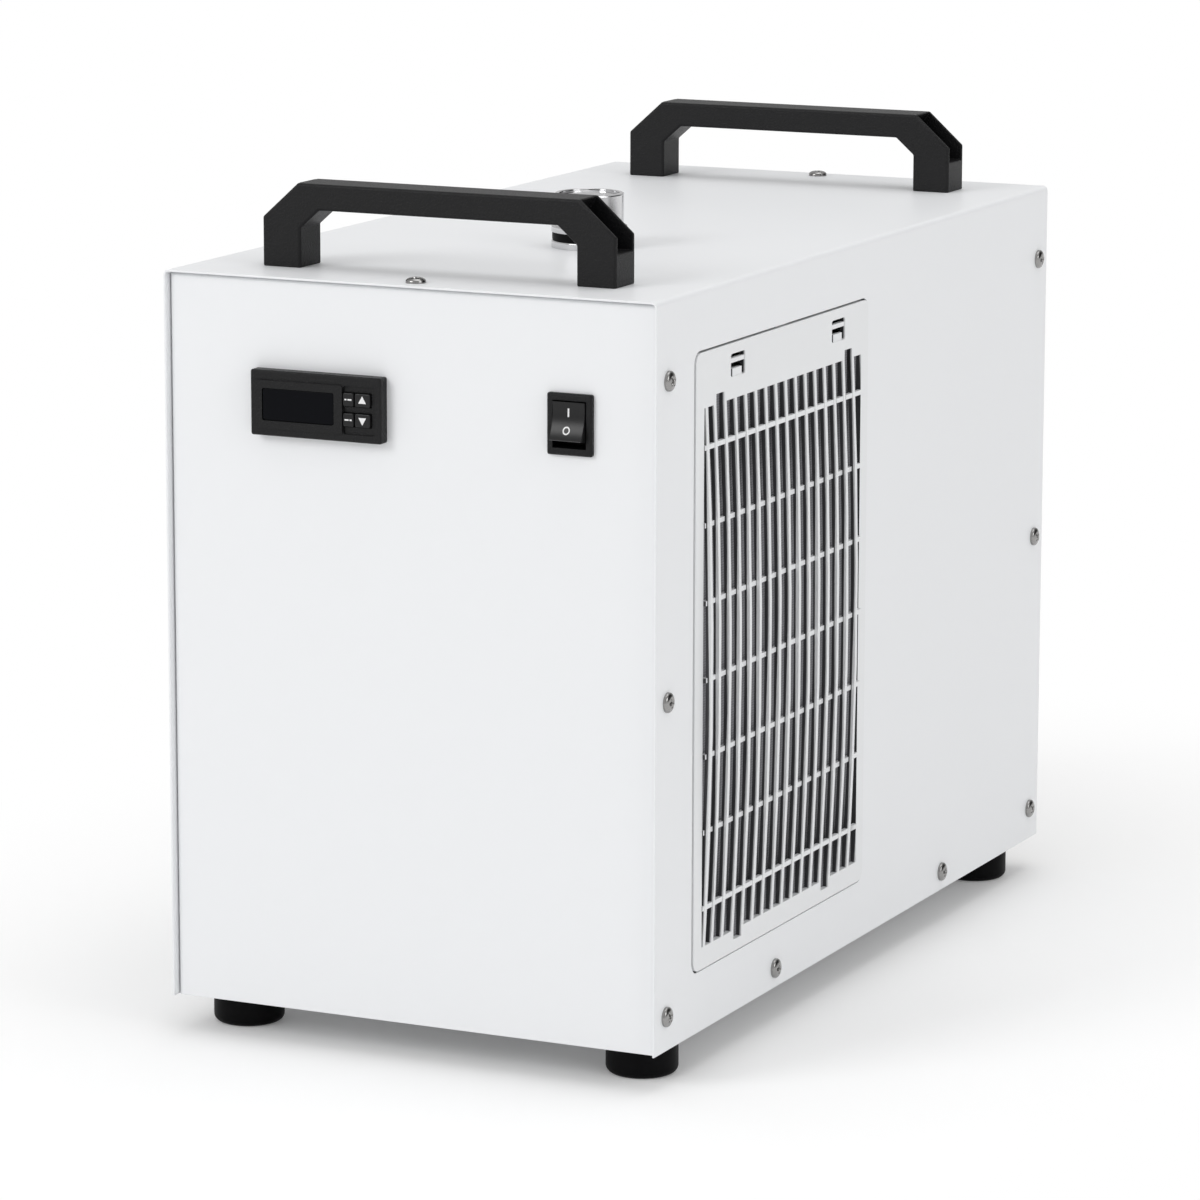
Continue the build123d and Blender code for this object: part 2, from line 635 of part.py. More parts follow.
# Bridge handles: one moulding each, a slot in either end, hollow under the bar
def bridge_handle(y_mid):
    half = HANDLE_W / 2
    inner = half - HANDLE_LEG
    knee = HANDLE_H - HANDLE_CUT_H
    grip = HANDLE_H - HANDLE_GRIP
    outline = [
        (half, 0),
        (half, knee),
        (half - HANDLE_CUT_W, HANDLE_H),
        (HANDLE_CUT_W - half, HANDLE_H),
        (-half, knee),
        (-half, 0),
        (-inner, 0),
        (-inner, grip - HANDLE_INNER_DROP),
        (HANDLE_INNER_CUT - inner, grip),
        (inner - HANDLE_INNER_CUT, grip),
        (inner, grip - HANDLE_INNER_DROP),
        (inner, 0),
    ]
    slot = [
        (half + 1, SLOT_FLOOR),
        (inner + SLOT_SKIN, SLOT_FLOOR),
        (inner + SLOT_SKIN, grip - HANDLE_INNER_DROP + SLOT_SKIN / 2),
        (inner + SLOT_SKIN - HANDLE_INNER_CUT + 2, grip + 2),
        (half - HANDLE_CUT_W, HANDLE_H - 0.6),
        (half - HANDLE_CUT_W, HANDLE_H + 1),
        (half + 1, HANDLE_H + 1),
    ]
    with BuildPart() as handle:
        with BuildSketch(facing_front(0, y_mid + HANDLE_T / 2, Z_TOP)):
            with BuildLine():
                Polyline(*outline, close=True)
            make_face()
        extrude(amount=HANDLE_T)
        above = Z_TOP + 0.5
        rims = faces().sort_by(Axis.Y)[0].edges() + faces().sort_by(Axis.Y)[-1].edges()
        fillet([e for e in rims if e.center().Z > above], HANDLE_ROUND)
        with BuildSketch(facing_front(0, y_mid + SLOT_T / 2, Z_TOP)):
            with BuildLine():
                Polyline(*slot, close=True)
            make_face()
            mirror(about=Plane.YZ)
        extrude(amount=SLOT_T, mode=Mode.SUBTRACT)
        with Locations((0, y_mid, Z_TOP + grip)):
            Box(2 * (inner - HANDLE_INNER_CUT) - 4, CHANNEL_T, 2 * CHANNEL_DEEP, mode=Mode.SUBTRACT)
        with Locations((leg_x, y_mid, Z_TOP), (-leg_x, y_mid, Z_TOP)):
            Cylinder(BOLT_D / 2, BOLT_REACH, align=LOW, mode=Mode.SUBTRACT)
    return handle.part


keep("handle_front", bridge_handle(Y_MID - HANDLE_MID))
keep("handle_rear", bridge_handle(Y_MID + HANDLE_MID))

with BuildPart() as handle_bolt_set:
    with Locations(*[(*spot, Z_ROOF) for spot in handle_bolts]):
        Cylinder(BOLT_HEAD_D / 2, BOLT_HEAD_H, align=HIGH)
        Cylinder(BOLT_D / 2, SHEET + BOLT_REACH, align=LOW)
keep("handle_bolts", handle_bolt_set.part)

# Filler: flanged neck, lock nut, seal and screw cap
neck_low = tank_high - FILLER_DIP
with BuildPart() as filler_neck:
    with BuildSketch(Plane.XY.offset(Z_TOP)):
        with Locations(filler):
            Circle(FILLER_FLANGE_D / 2)
    extrude(amount=FILLER_FLANGE_H)
    chamfer(edges().group_by(Axis.Z)[-1], 0.5)
    with BuildSketch(Plane.XY.offset(neck_low)):
        with Locations(filler):
            Circle(FILLER_NECK_D / 2)
    extrude(amount=Z_TOP + FILLER_NECK_UP - neck_low)
    with BuildSketch(Plane.XY.offset(neck_low)):
        with Locations(filler):
            Circle(FILLER_BORE_D / 2)
    extrude(amount=Z_TOP + FILLER_NECK_UP - neck_low, mode=Mode.SUBTRACT)
keep("filler_neck", filler_neck.part)

with BuildPart() as filler_nut:
    with BuildSketch(Plane.XY.offset(Z_ROOF - NUT_H)):
        with Locations(filler):
            RegularPolygon(NUT_D / 2, 6)
            Circle(FILLER_NECK_D / 2 + PIN_FIT, mode=Mode.SUBTRACT)
    extrude(amount=NUT_H)
keep("filler_nut", filler_nut.part)

cap_bore = FILLER_NECK_D / 2 + CAP_GAP
seal_z = Z_TOP + FILLER_FLANGE_H
cap_z = seal_z + SEAL_H
cap_top = Z_TOP + CAP_TOP
with BuildPart() as filler_seal:
    with BuildSketch(Plane.XY.offset(seal_z)):
        with Locations(filler):
            Circle(CAP_SKIRT_D / 2 - 0.5)
            Circle(cap_bore, mode=Mode.SUBTRACT)
    extrude(amount=SEAL_H)
keep("filler_seal", filler_seal.part)

with BuildPart() as filler_cap:
    with BuildSketch(Plane.XY.offset(cap_z)):
        with Locations(filler):
            Circle(CAP_D / 2)
    extrude(amount=cap_top - cap_z)
    chamfer(edges().group_by(Axis.Z)[-1], CAP_BEVEL)
    with BuildSketch(Plane.XY.offset(cap_z)):
        with Locations(filler):
            Circle(CAP_SKIRT_D / 2)
    extrude(amount=CAP_SKIRT_H)
    with BuildSketch(Plane.XY.offset(cap_top - CAP_DISH)):
        with Locations(filler):
            Circle(CAP_DISH_D / 2)
    extrude(amount=CAP_DISH + 1, mode=Mode.SUBTRACT)
    with BuildSketch(Plane.XY.offset(cap_z)):
        with Locations(filler):
            Circle(cap_bore)
    extrude(amount=cap_top - CAP_ROOF - cap_z, mode=Mode.SUBTRACT)
keep("filler_cap", filler_cap.part)

# Controller: bezel and body in one housing, window, four sprung keys
ctrl_face = Y_PANEL - CTRL_PROUD
shield_face = ctrl_face - SHIELD_PROUD
field_floor = ctrl_face + FIELD_DEEP
key_spots = {
    "key_set": (KEY_LEFT_X, KEY_UP_Z, KEY_LEFT_W),
    "key_menu": (KEY_LEFT_X, KEY_DOWN_Z, KEY_LEFT_W),
    "key_up": (KEY_RIGHT_X, KEY_UP_Z, KEY_RIGHT_W),
    "key_down": (KEY_RIGHT_X, KEY_DOWN_Z, KEY_RIGHT_W),
}
with BuildPart() as controller_housing:
    with BuildSketch(facing_front(CTRL_X, Y_PANEL, ctrl_z)):
        RectangleRounded(CTRL_W, CTRL_H, CTRL_ROUND)
    extrude(amount=CTRL_PROUD)
    fillet(faces().sort_by(Axis.Y)[0].edges(), CTRL_ROUND * 0.8)
    with BuildSketch(facing_front(CTRL_X, ctrl_face, ctrl_z)):
        with Locations((SHIELD_X, SHIELD_Z)):
            RectangleRounded(SHIELD_W, SHIELD_H, CTRL_ROUND)
    extrude(amount=SHIELD_PROUD)
    with BuildSketch(facing_front(CTRL_X, Y_PANEL + CTRL_BODY_L, ctrl_z)):
        Rectangle(CTRL_BODY_W, CTRL_BODY_H)
    extrude(amount=CTRL_BODY_L)
    with BuildSketch(facing_front(CTRL_X, shield_face + WINDOW_DEEP, ctrl_z)):
        with Locations((WINDOW_X, SHIELD_Z)):
            RectangleRounded(WINDOW_W, WINDOW_H, CTRL_ROUND)
    extrude(amount=WINDOW_DEEP + 1, mode=Mode.SUBTRACT)
    with BuildSketch(facing_front(CTRL_X, field_floor, ctrl_z)):
        with Locations((FIELD_X, SHIELD_Z)):
            RectangleRounded(FIELD_W, FIELD_H, CTRL_ROUND)
    extrude(amount=FIELD_DEEP + 1, mode=Mode.SUBTRACT)
    with BuildSketch(facing_front(CTRL_X, field_floor + KEY_L - KEY_PROUD + KEY_TRAVEL + KEY_GAP, ctrl_z)):
        for x, z, width in key_spots.values():
            with Locations((x, z)):
                Rectangle(width + 2 * KEY_GAP, KEY_H + 2 * KEY_GAP)
    extrude(amount=KEY_L + FIELD_DEEP, mode=Mode.SUBTRACT)
keep("controller_housing", controller_housing.part)

with BuildPart() as controller_window:
    with BuildSketch(facing_front(CTRL_X, shield_face + WINDOW_DEEP, ctrl_z)):
        with Locations((WINDOW_X, SHIELD_Z)):
            RectangleRounded(WINDOW_W - 2 * KEY_GAP, WINDOW_H - 2 * KEY_GAP, CTRL_ROUND)
    extrude(amount=WINDOW_T)
keep("controller_window", controller_window.part)


def key_cap(x, z, width):
    with BuildPart() as key:
        with BuildSketch(facing_front(CTRL_X, field_floor + KEY_L - KEY_PROUD, ctrl_z)):
            with Locations((x, z)):
                Rectangle(width, KEY_H)
        extrude(amount=KEY_L)
        fillet(faces().sort_by(Axis.Y)[0].edges(), KEY_ROUND)
    return key.part


for name, (x, z, width) in key_spots.items():
    keep(name, key_cap(x, z, width))

# Rocker switch: housing with its well and terminals, rocker on two stub pins
switch_face = Y_PANEL - SWITCH_PROUD
pivot_y = switch_face + ROCKER_PIVOT
pivot = Axis((SWITCH_X, pivot_y, switch_z), (1, 0, 0))
rocker_half_w = SWITCH_WELL_W / 2 - ROCKER_GAP
with BuildPart() as switch_housing:
    with BuildSketch(facing_front(SWITCH_X, Y_PANEL, switch_z)):
        RectangleRounded(SWITCH_W, SWITCH_H, CTRL_ROUND)
    extrude(amount=SWITCH_PROUD)
    chamfer(faces().sort_by(Axis.Y)[0].edges(), SWITCH_BEVEL)
    with BuildSketch(facing_front(SWITCH_X, Y_PANEL + SWITCH_BODY_L, switch_z)):
        Rectangle(SWITCH_BODY_W, SWITCH_BODY_H)
    extrude(amount=SWITCH_BODY_L)
    with BuildSketch(facing_front(SWITCH_X, switch_face + SWITCH_WELL, switch_z)):
        Rectangle(SWITCH_WELL_W, SWITCH_WELL_H)
    extrude(amount=SWITCH_WELL, mode=Mode.SUBTRACT)
    with BuildSketch(Plane.YZ.offset(SWITCH_X - SWITCH_WELL_W / 2 - PIN_REACH)):
        with Locations((pivot_y, switch_z)):
            Circle(PIN_D / 2 + PIN_FIT)
    extrude(amount=SWITCH_WELL_W + 2 * PIN_REACH, mode=Mode.SUBTRACT)
    terminal_y = Y_PANEL + SWITCH_BODY_L + TERMINAL_L / 2
    with Locations(*[(SWITCH_X, terminal_y, switch_z + TERMINAL_STEP * i) for i in (-1, 0, 1)]):
        Box(TERMINAL_W, TERMINAL_L, TERMINAL_T)
keep("switch_housing", switch_housing.part)

with BuildPart() as rocker:
    with BuildSketch(Plane.YZ.offset(SWITCH_X - rocker_half_w)):
        with BuildLine():
            lip = pivot_y - ROCKER_LIP
            foot = pivot_y + ROCKER_FOOT
            top_lip = (lip, switch_z + ROCKER_HALF)
            low_lip = (lip, switch_z - ROCKER_HALF)
            ThreePointArc(top_lip, (lip + ROCKER_DISH, switch_z), low_lip)
            Polyline(low_lip, (pivot_y, switch_z - ROCKER_HALF), (foot, switch_z - ROCKER_HALF / 2))
            Polyline((foot, switch_z - ROCKER_HALF / 2), (foot, switch_z + ROCKER_HALF / 2))
            Polyline((foot, switch_z + ROCKER_HALF / 2), (pivot_y, switch_z + ROCKER_HALF), top_lip)
        make_face()
    extrude(amount=2 * rocker_half_w)
    pin_half = SWITCH_WELL_W / 2 + PIN_REACH - 2 * PIN_FIT
    with BuildSketch(Plane.YZ.offset(SWITCH_X - pin_half)):
        with Locations((pivot_y, switch_z)):
            Circle(PIN_D / 2)
    extrude(amount=2 * pin_half)
keep("rocker", rocker.part.rotate(pivot, -ROCKER_TILT))

# Side grille, built for the right side: bordered window with crowned blades and set-back bars
face_x = CASE_W / 2 + GRILLE_PROUD
blade_back = face_x - BLADE_BACK
mesh_low = Z_BASE + MESH_LOW
mesh_high = Z_BASE + MESH_HIGH
mesh_mid = (mesh_low + mesh_high) / 2
mesh_half = (mesh_high - mesh_low) / 2
mesh_y = grille_y + 0.2
first_blade = grille_y + BLADE_SHIFT - BLADE_PITCH * (BLADE_COUNT - 1) / 2
blade_mids = [first_blade - EDGE_BLADE_STEP] + [first_blade + BLADE_PITCH * i for i in range(BLADE_COUNT)]
slot_ends = blade_mids[1:] + [mesh_y + MESH_W / 2 + BLADE_T / 2]
slot_mids = [(a + b) / 2 for a, b in zip(blade_mids, slot_ends)]
slot_widths = [b - a - BLADE_T for a, b in zip(blade_mids, slot_ends)]


def crown_at(z):
    """How far the blades' front edge stands out of the grille's face at a height."""
    return BLADE_CROWN * (1 - ((z - mesh_mid) / mesh_half) ** 2)


skirt_x = face_x - GRILLE_SKIRT
latch_spots = [grille_y - GRILLE_W / 2 + LATCH_FRONT + LATCH_STEP * i for i in (0, 1)]
latch_z = Z_BASE + LATCH_Z
with BuildPart() as blade:
    with BuildSketch(Plane.XZ):
        with BuildLine():
            ThreePointArc((face_x, mesh_low), (face_x + BLADE_CROWN, mesh_mid), (face_x, mesh_high))
            Line((face_x, mesh_high), (blade_back, mesh_high))
            ThreePointArc((blade_back, mesh_high), (blade_back + BLADE_CROWN, mesh_mid), (blade_back, mesh_low))
            Line((blade_back, mesh_low), (face_x, mesh_low))
        make_face()
    extrude(amount=BLADE_T / 2, both=True)
with BuildPart() as grille:
    with BuildSketch(Plane.YZ.offset(face_x - GRILLE_T)):
        with Locations((grille_y, grille_z)):
            RectangleRounded(GRILLE_W, GRILLE_H, GRILLE_ROUND)
        with Locations((mesh_y, mesh_mid)):
            Rectangle(MESH_W, 2 * mesh_half, mode=Mode.SUBTRACT)
        for number in TALL_TOP:
            with Locations((slot_mids[number - 1], mesh_high + TALL_SLOT / 2)):
                Rectangle(slot_widths[number - 1], TALL_SLOT, mode=Mode.SUBTRACT)
        for number in TALL_LOW:
            with Locations((slot_mids[number - 1], mesh_low - TALL_SLOT / 2)):
                Rectangle(slot_widths[number - 1], TALL_SLOT, mode=Mode.SUBTRACT)
        with Locations(*[(y, latch_z) for y in latch_spots]):
            RectangleRounded(LATCH_W, LATCH_H, 1.5, mode=Mode.SUBTRACT)
    extrude(amount=GRILLE_T)
    with BuildSketch(Plane.YZ.offset(skirt_x)):
        with Locations((grille_y, grille_z)):
            RectangleRounded(GRILLE_W, GRILLE_H, GRILLE_ROUND)
            RectangleRounded(
                GRILLE_W - 2 * SKIRT_T, GRILLE_H - 2 * SKIRT_T, GRILLE_ROUND - SKIRT_T, mode=Mode.SUBTRACT
            )
    extrude(amount=GRILLE_SKIRT - GRILLE_T)
    for step in (-1, 1):
        with Locations((skirt_x, grille_y + step * (GRILLE_W + SKIRT_RIB) / 2, grille_z)):
            Box(GRILLE_SKIRT - GRILLE_T, SKIRT_RIB, SKIRT_RIB_L, align=(Align.MIN, Align.CENTER, Align.CENTER))
        with Locations((skirt_x, grille_y, grille_z + step * (GRILLE_H + SKIRT_RIB) / 2)):
            Box(GRILLE_SKIRT - GRILLE_T, SKIRT_RIB_L, SKIRT_RIB, align=(Align.MIN, Align.CENTER, Align.CENTER))
    with Locations(*[(0, y, 0) for y in blade_mids]):
        add(blade.part)
    for number in range(BAR_COUNT):
        bar_z = mesh_mid + BAR_PITCH * (number - (BAR_COUNT - 1) / 2)
        at_end = number in (0, BAR_COUNT - 1)
        bar_face = face_x + crown_at(bar_z) - (BAR_END_SET_BACK if at_end else BAR_SET_BACK)
        with Locations((bar_face, mesh_y, bar_z)):
            Box(BAR_DEEP, MESH_W, BAR_T, align=(Align.MAX, Align.CENTER, Align.CENTER))
    for y in latch_spots:
        ledge_low = latch_z - LATCH_H / 2
        with Locations((face_x - GRILLE_T, y, ledge_low)):
            Box(TONGUE_T, TONGUE_W, TONGUE_LEDGE, align=(Align.MIN, Align.CENTER, Align.MIN))
        with Locations((face_x - GRILLE_T, y, latch_z + TONGUE_BAR / 2)):
            Box(TONGUE_T, LATCH_W, TONGUE_BAR, align=(Align.MIN, Align.CENTER, Align.MIN))
keep("grille_right", grille.part)
keep("grille_left", mirror(grille.part, about=Plane.YZ, mode=Mode.PRIVATE))

with BuildPart() as filter_mat:
    with BuildSketch(Plane.YZ.offset(blade_back - FILTER_T)):
        with Locations((grille_y, mesh_mid)):
            Rectangle(GRILLE_W - 2 * (SKIRT_T + FILTER_GAP), 2 * (mesh_half + TALL_SLOT + FILTER_GAP))
    extrude(amount=FILTER_T)
keep("filter_right", filter_mat.part)
keep("filter_left", mirror(filter_mat.part, about=Plane.YZ, mode=Mode.PRIVATE))


def pipe_run(points, diameter, bend):
    """A round pipe or hose along square corners, each turned with the same bend."""
    corners = [Vector(*point) for point in points]
    ways = [(b - a).normalized() for a, b in zip(corners, corners[1:])]
    with BuildPart() as pipe:
        with BuildLine():
            start = corners[0]
            for corner, way, onward in zip(corners[1:], ways, ways[1:]):
                Line(start, corner - way * bend)
                inside = corner + (onward - way) * bend * (1 - cos(radians(45)))
                ThreePointArc(corner - way * bend, inside, corner + onward * bend)
                start = corner + onward * bend
            Line(start, corners[-1])
        with BuildSketch(Plane(origin=corners[0], z_dir=ways[0])):
            Circle(diameter / 2)
        sweep()
    return pipe.part


# Condenser: finned core between two end plates that stand on the base pan
core_back = core_y + CORE_T
core_low = Z_FLOOR + CORE_LOW
core_high = core_low + CORE_H
gas_port_z = core_high - CORE_FIN_STEP
liquid_port_z = core_low + CORE_FIN_STEP
bend_pitch = CORE_H / (2 * BEND_COUNT)
with BuildPart() as condenser:
    with Locations((FAN_X, core_y + CORE_T / 2, core_low)):
        Box(CORE_W, CORE_T, CORE_H, align=LOW)
    fins = int(CORE_W / CORE_FIN_STEP) - 1
    fin_spots = [FAN_X + CORE_FIN_STEP * (i - (fins - 1) / 2) for i in range(fins)]
    with Locations(*[(x, core_y, core_low + CORE_H / 2) for x in fin_spots]):
        Box(CORE_FIN_DEEP, 2 * CORE_FIN_DEEP, CORE_H, mode=Mode.SUBTRACT)
    plate_at = CORE_W / 2 + END_PLATE_T / 2
    with Locations(*[(FAN_X + sx * plate_at, core_y + CORE_T / 2, Z_FLOOR) for sx in (-1, 1)]):
        Box(END_PLATE_T, CORE_T, core_high - Z_FLOOR, align=LOW)
    with Locations(
        Location((GAS_LANE, core_y, gas_port_z), (90, 0, 0)),
        Location((LIQUID_LANE, core_y, liquid_port_z), (90, 0, 0)),
    ):
        Cylinder(STUB_D / 2, STUB_L, align=LOW)
    side = FAN_X + CORE_W / 2 + END_PLATE_T
    for number in range(BEND_COUNT):
        low = core_low + bend_pitch * (2 * number + 0.5)
        with BuildLine():
            ends = [(side - 0.5, core_y + CORE_T / 2, low), (side - 0.5, core_y + CORE_T / 2, low + bend_pitch)]
            ThreePointArc(ends[0], (side - 0.5 + bend_pitch / 2, core_y + CORE_T / 2, low + bend_pitch / 2), ends[1])
        with BuildSketch(Plane(origin=ends[0], z_dir=(1, 0, 0))):
            Circle(BEND_PIPE_D / 2)
        sweep()
keep("condenser", condenser.part)

# Fan shroud: duct from the condenser to the rear panel
shroud_l = Y_BACK_IN - core_back
with BuildPart() as fan_shroud:
    with Locations((FAN_X, core_back + shroud_l / 2, core_low + CORE_H / 2)):
        Box(CORE_W + 2 * END_PLATE_T, shroud_l, CORE_H)
    with Locations((FAN_X, core_back, core_low + CORE_H / 2)):
        Box(CORE_W, 2 * (shroud_l - END_PLATE_T), CORE_H - 2 * END_PLATE_T, mode=Mode.SUBTRACT)
    with BuildSketch(facing_rear(FAN_X, core_back, fan_z)):
        Circle(FAN_HOLE_D / 2)
    extrude(amount=shroud_l, mode=Mode.SUBTRACT)
keep("fan_shroud", fan_shroud.part)

# Fan: motor on four legs, rotor on its shaft, wire guard outside
hub_back = Y_BACK_IN - FAN_SET_BACK
hub_front = hub_back - HUB_L
motor_back = hub_front - MOTOR_GAP
plate_in = Y_BACK_IN - END_PLATE_T
with BuildPart() as fan_motor:
    with BuildSketch(facing_rear(FAN_X, motor_back - MOTOR_L, fan_z)):
        Circle(MOTOR_D / 2)
    extrude(amount=MOTOR_L)
    chamfer(edges().group_by(Axis.Y)[0], MOTOR_BEVEL)
    legs = [Location((FAN_X, 0, fan_z), (0, 45 + 90 * i, 0)) for i in range(4)]
    for leg in legs:
        with Locations(leg * Location((0, motor_back - MOTOR_L / 2, 0))):
            Box(ARM_R, ARM_T, ARM_W, align=(Align.MIN, Align.CENTER, Align.CENTER))
        with Locations(leg * Location((ARM_R - ARM_T, motor_back - MOTOR_L / 2, 0))):
            leg_l = plate_in - motor_back + MOTOR_L / 2
            Box(ARM_T, leg_l, ARM_W, align=(Align.MIN, Align.MIN, Align.CENTER))
        with Locations(leg * Location((ARM_R - ARM_T, plate_in, 0))):
            Box(ARM_W, ARM_T, ARM_W, align=(Align.MIN, Align.MAX, Align.CENTER))
    with BuildSketch(facing_rear(FAN_X, motor_back - SHAFT_IN - 2, fan_z)):
        Circle(SHAFT_D / 2 + SHAFT_FIT)
    extrude(amount=SHAFT_IN + 3, mode=Mode.SUBTRACT)
keep("fan_motor", fan_motor.part)

blade_in = HUB_D / 2 - BLADE_ROOT
with BuildPart() as fan_rotor:
    Cylinder(HUB_D / 2, HUB_L)
    for number in range(BLADES):
        turn = Location((0, 0, 0), (0, 0, 360 / BLADES * number))
        with Locations(turn * Location((blade_in, 0, 0), (BLADE_TURN, 0, 0))):
            Box(FAN_D / 2 + 5 - blade_in, BLADE_CHORD, 2, align=(Align.MIN, Align.CENTER, Align.CENTER))
    Cylinder(FAN_D / 2, 2 * HUB_L, mode=Mode.INTERSECT)
    Cylinder(SHAFT_D / 2, HUB_L / 2 + MOTOR_GAP + SHAFT_IN, align=LOW)
keep("fan_rotor", Location((FAN_X, hub_back - HUB_L / 2, fan_z), (90, 0, 0)) * fan_rotor.part)

with BuildPart() as fan_guard:
    with BuildSketch(facing_rear(FAN_X, Y_BACK + GUARD_WIRE - 0.3, fan_z)):
        for number in range(GUARD_RINGS):
            ring_r = GUARD_D / 2 - GUARD_RING_STEP * number
            Circle(ring_r + GUARD_WIRE / 2)
            Circle(ring_r - GUARD_WIRE / 2, mode=Mode.SUBTRACT)
    extrude(amount=GUARD_WIRE)
    with BuildSketch(facing_rear(FAN_X, Y_BACK, fan_z)):
        Rectangle(GUARD_D + 2 * GUARD_WIRE, GUARD_WIRE, rotation=45)
        Rectangle(GUARD_D + 2 * GUARD_WIRE, GUARD_WIRE, rotation=-45)
    extrude(amount=GUARD_WIRE)
keep("fan_guard", fan_guard.part)

# Tank: closed moulding with a neck hole and hose spigots
tank_z = (tank_low + tank_high) / 2
with BuildPart() as tank:
    with BuildSketch(Plane.XY.offset(tank_low)):
        with Locations((0, tank_y)):
            RectangleRounded(TANK_W, TANK_L, TANK_ROUND)
    extrude(amount=TANK_H)
    with BuildSketch(facing_front(0, tank_front, 0)):
        with Locations((PUMP_X, suction_z)):
            Circle(SPIGOT_D / 2)
    extrude(amount=SPIGOT_L)
    back_spigots = [(RETURN_X, pipe_z), (DRAIN_X, suction_z), (GAUGE_X, gauge_low), (GAUGE_X, gauge_high)]
    with BuildSketch(facing_rear(0, tank_back, 0)):
        with Locations(*[(-x, z) for x, z in back_spigots]):
            Circle(SPIGOT_D / 2)
    extrude(amount=SPIGOT_L)
    with BuildSketch(Plane.XY.offset(tank_low + TANK_WALL)):
        with Locations((0, tank_y)):
            RectangleRounded(TANK_W - 2 * TANK_WALL, TANK_L - 2 * TANK_WALL, TANK_ROUND - TANK_WALL)
    extrude(amount=TANK_H - 2 * TANK_WALL, mode=Mode.SUBTRACT)
    with BuildSketch(Plane.XY.offset(tank_high - 2 * TANK_WALL)):
        with Locations(filler):
            Circle(FILLER_NECK_D / 2 + HOLE_CLEAR)
    extrude(amount=3 * TANK_WALL, mode=Mode.SUBTRACT)
    with BuildSketch(facing_front(0, tank_front + 2 * TANK_WALL, 0)):
        with Locations((PUMP_X, suction_z)):
            Circle(SPIGOT_BORE / 2)
        with Locations((-coil_half, coil_z), (coil_half, coil_z)):
            Circle(COIL_D / 2 + COIL_FIT)
    extrude(amount=SPIGOT_L + 3 * TANK_WALL, mode=Mode.SUBTRACT)
    with BuildSketch(facing_rear(0, tank_back - 2 * TANK_WALL, 0)):
        with Locations(*[(-x, z) for x, z in back_spigots]):
            Circle(SPIGOT_BORE / 2)
    extrude(amount=SPIGOT_L + 3 * TANK_WALL, mode=Mode.SUBTRACT)
keep("tank", tank.part)

# Stand: folded deck under the tank, two open legs, feet on the base pan
stand_half = TANK_W / 2 + STAND_T
with BuildPart() as tank_stand:
    with Locations((0, tank_y, tank_low)):
        Box(2 * stand_half, TANK_L, STAND_T, align=HIGH)
    for y, turned in ((tank_front, 1), (tank_back, -1)):
        with Locations((0, y + turned * STAND_T / 2, Z_FLOOR)):
            Box(2 * stand_half, STAND_T, tank_low - Z_FLOOR, align=LOW)
        with Locations((0, y + turned * STAND_FOOT / 2, Z_FLOOR)):
            Box(2 * stand_half, STAND_FOOT, STAND_T, align=LOW)
        window_h = tank_low - Z_FLOOR - 2 * STAND_FRAME
        with Locations((0, y, Z_FLOOR + STAND_FRAME)):
            Box(2 * (stand_half - STAND_FRAME), 4 * STAND_T, window_h, align=LOW, mode=Mode.SUBTRACT)
keep("tank_stand", tank_stand.part)

# Evaporator coil, flat in the tank, both ends out through its front wall
coil_front = tank_front + 2 * COIL_PITCH
coil_rear = tank_back - COIL_PITCH
with BuildPart() as evaporator_coil:
    with BuildLine():
        x = -coil_half
        Line((x, tank_front - COIL_STUB, coil_z), (x, coil_rear, coil_z))
        for number in range(COIL_LEGS - 1):
            at_rear = number % 2 == 0
            y = coil_rear if at_rear else coil_front
            reach = COIL_PITCH / 2 * (1 if at_rear else -1)
            ThreePointArc((x, y, coil_z), (x + COIL_PITCH / 2, y + reach, coil_z), (x + COIL_PITCH, y, coil_z))
            x += COIL_PITCH
            far = tank_front - COIL_STUB if number == COIL_LEGS - 2 else coil_front
            Line((x, y, coil_z), (x, far if at_rear else coil_rear, coil_z))
    with BuildSketch(Plane(origin=(-coil_half, tank_front - COIL_STUB, coil_z), z_dir=(0, 1, 0))):
        Circle(COIL_D / 2)
    sweep()
keep("evaporator_coil", evaporator_coil.part)

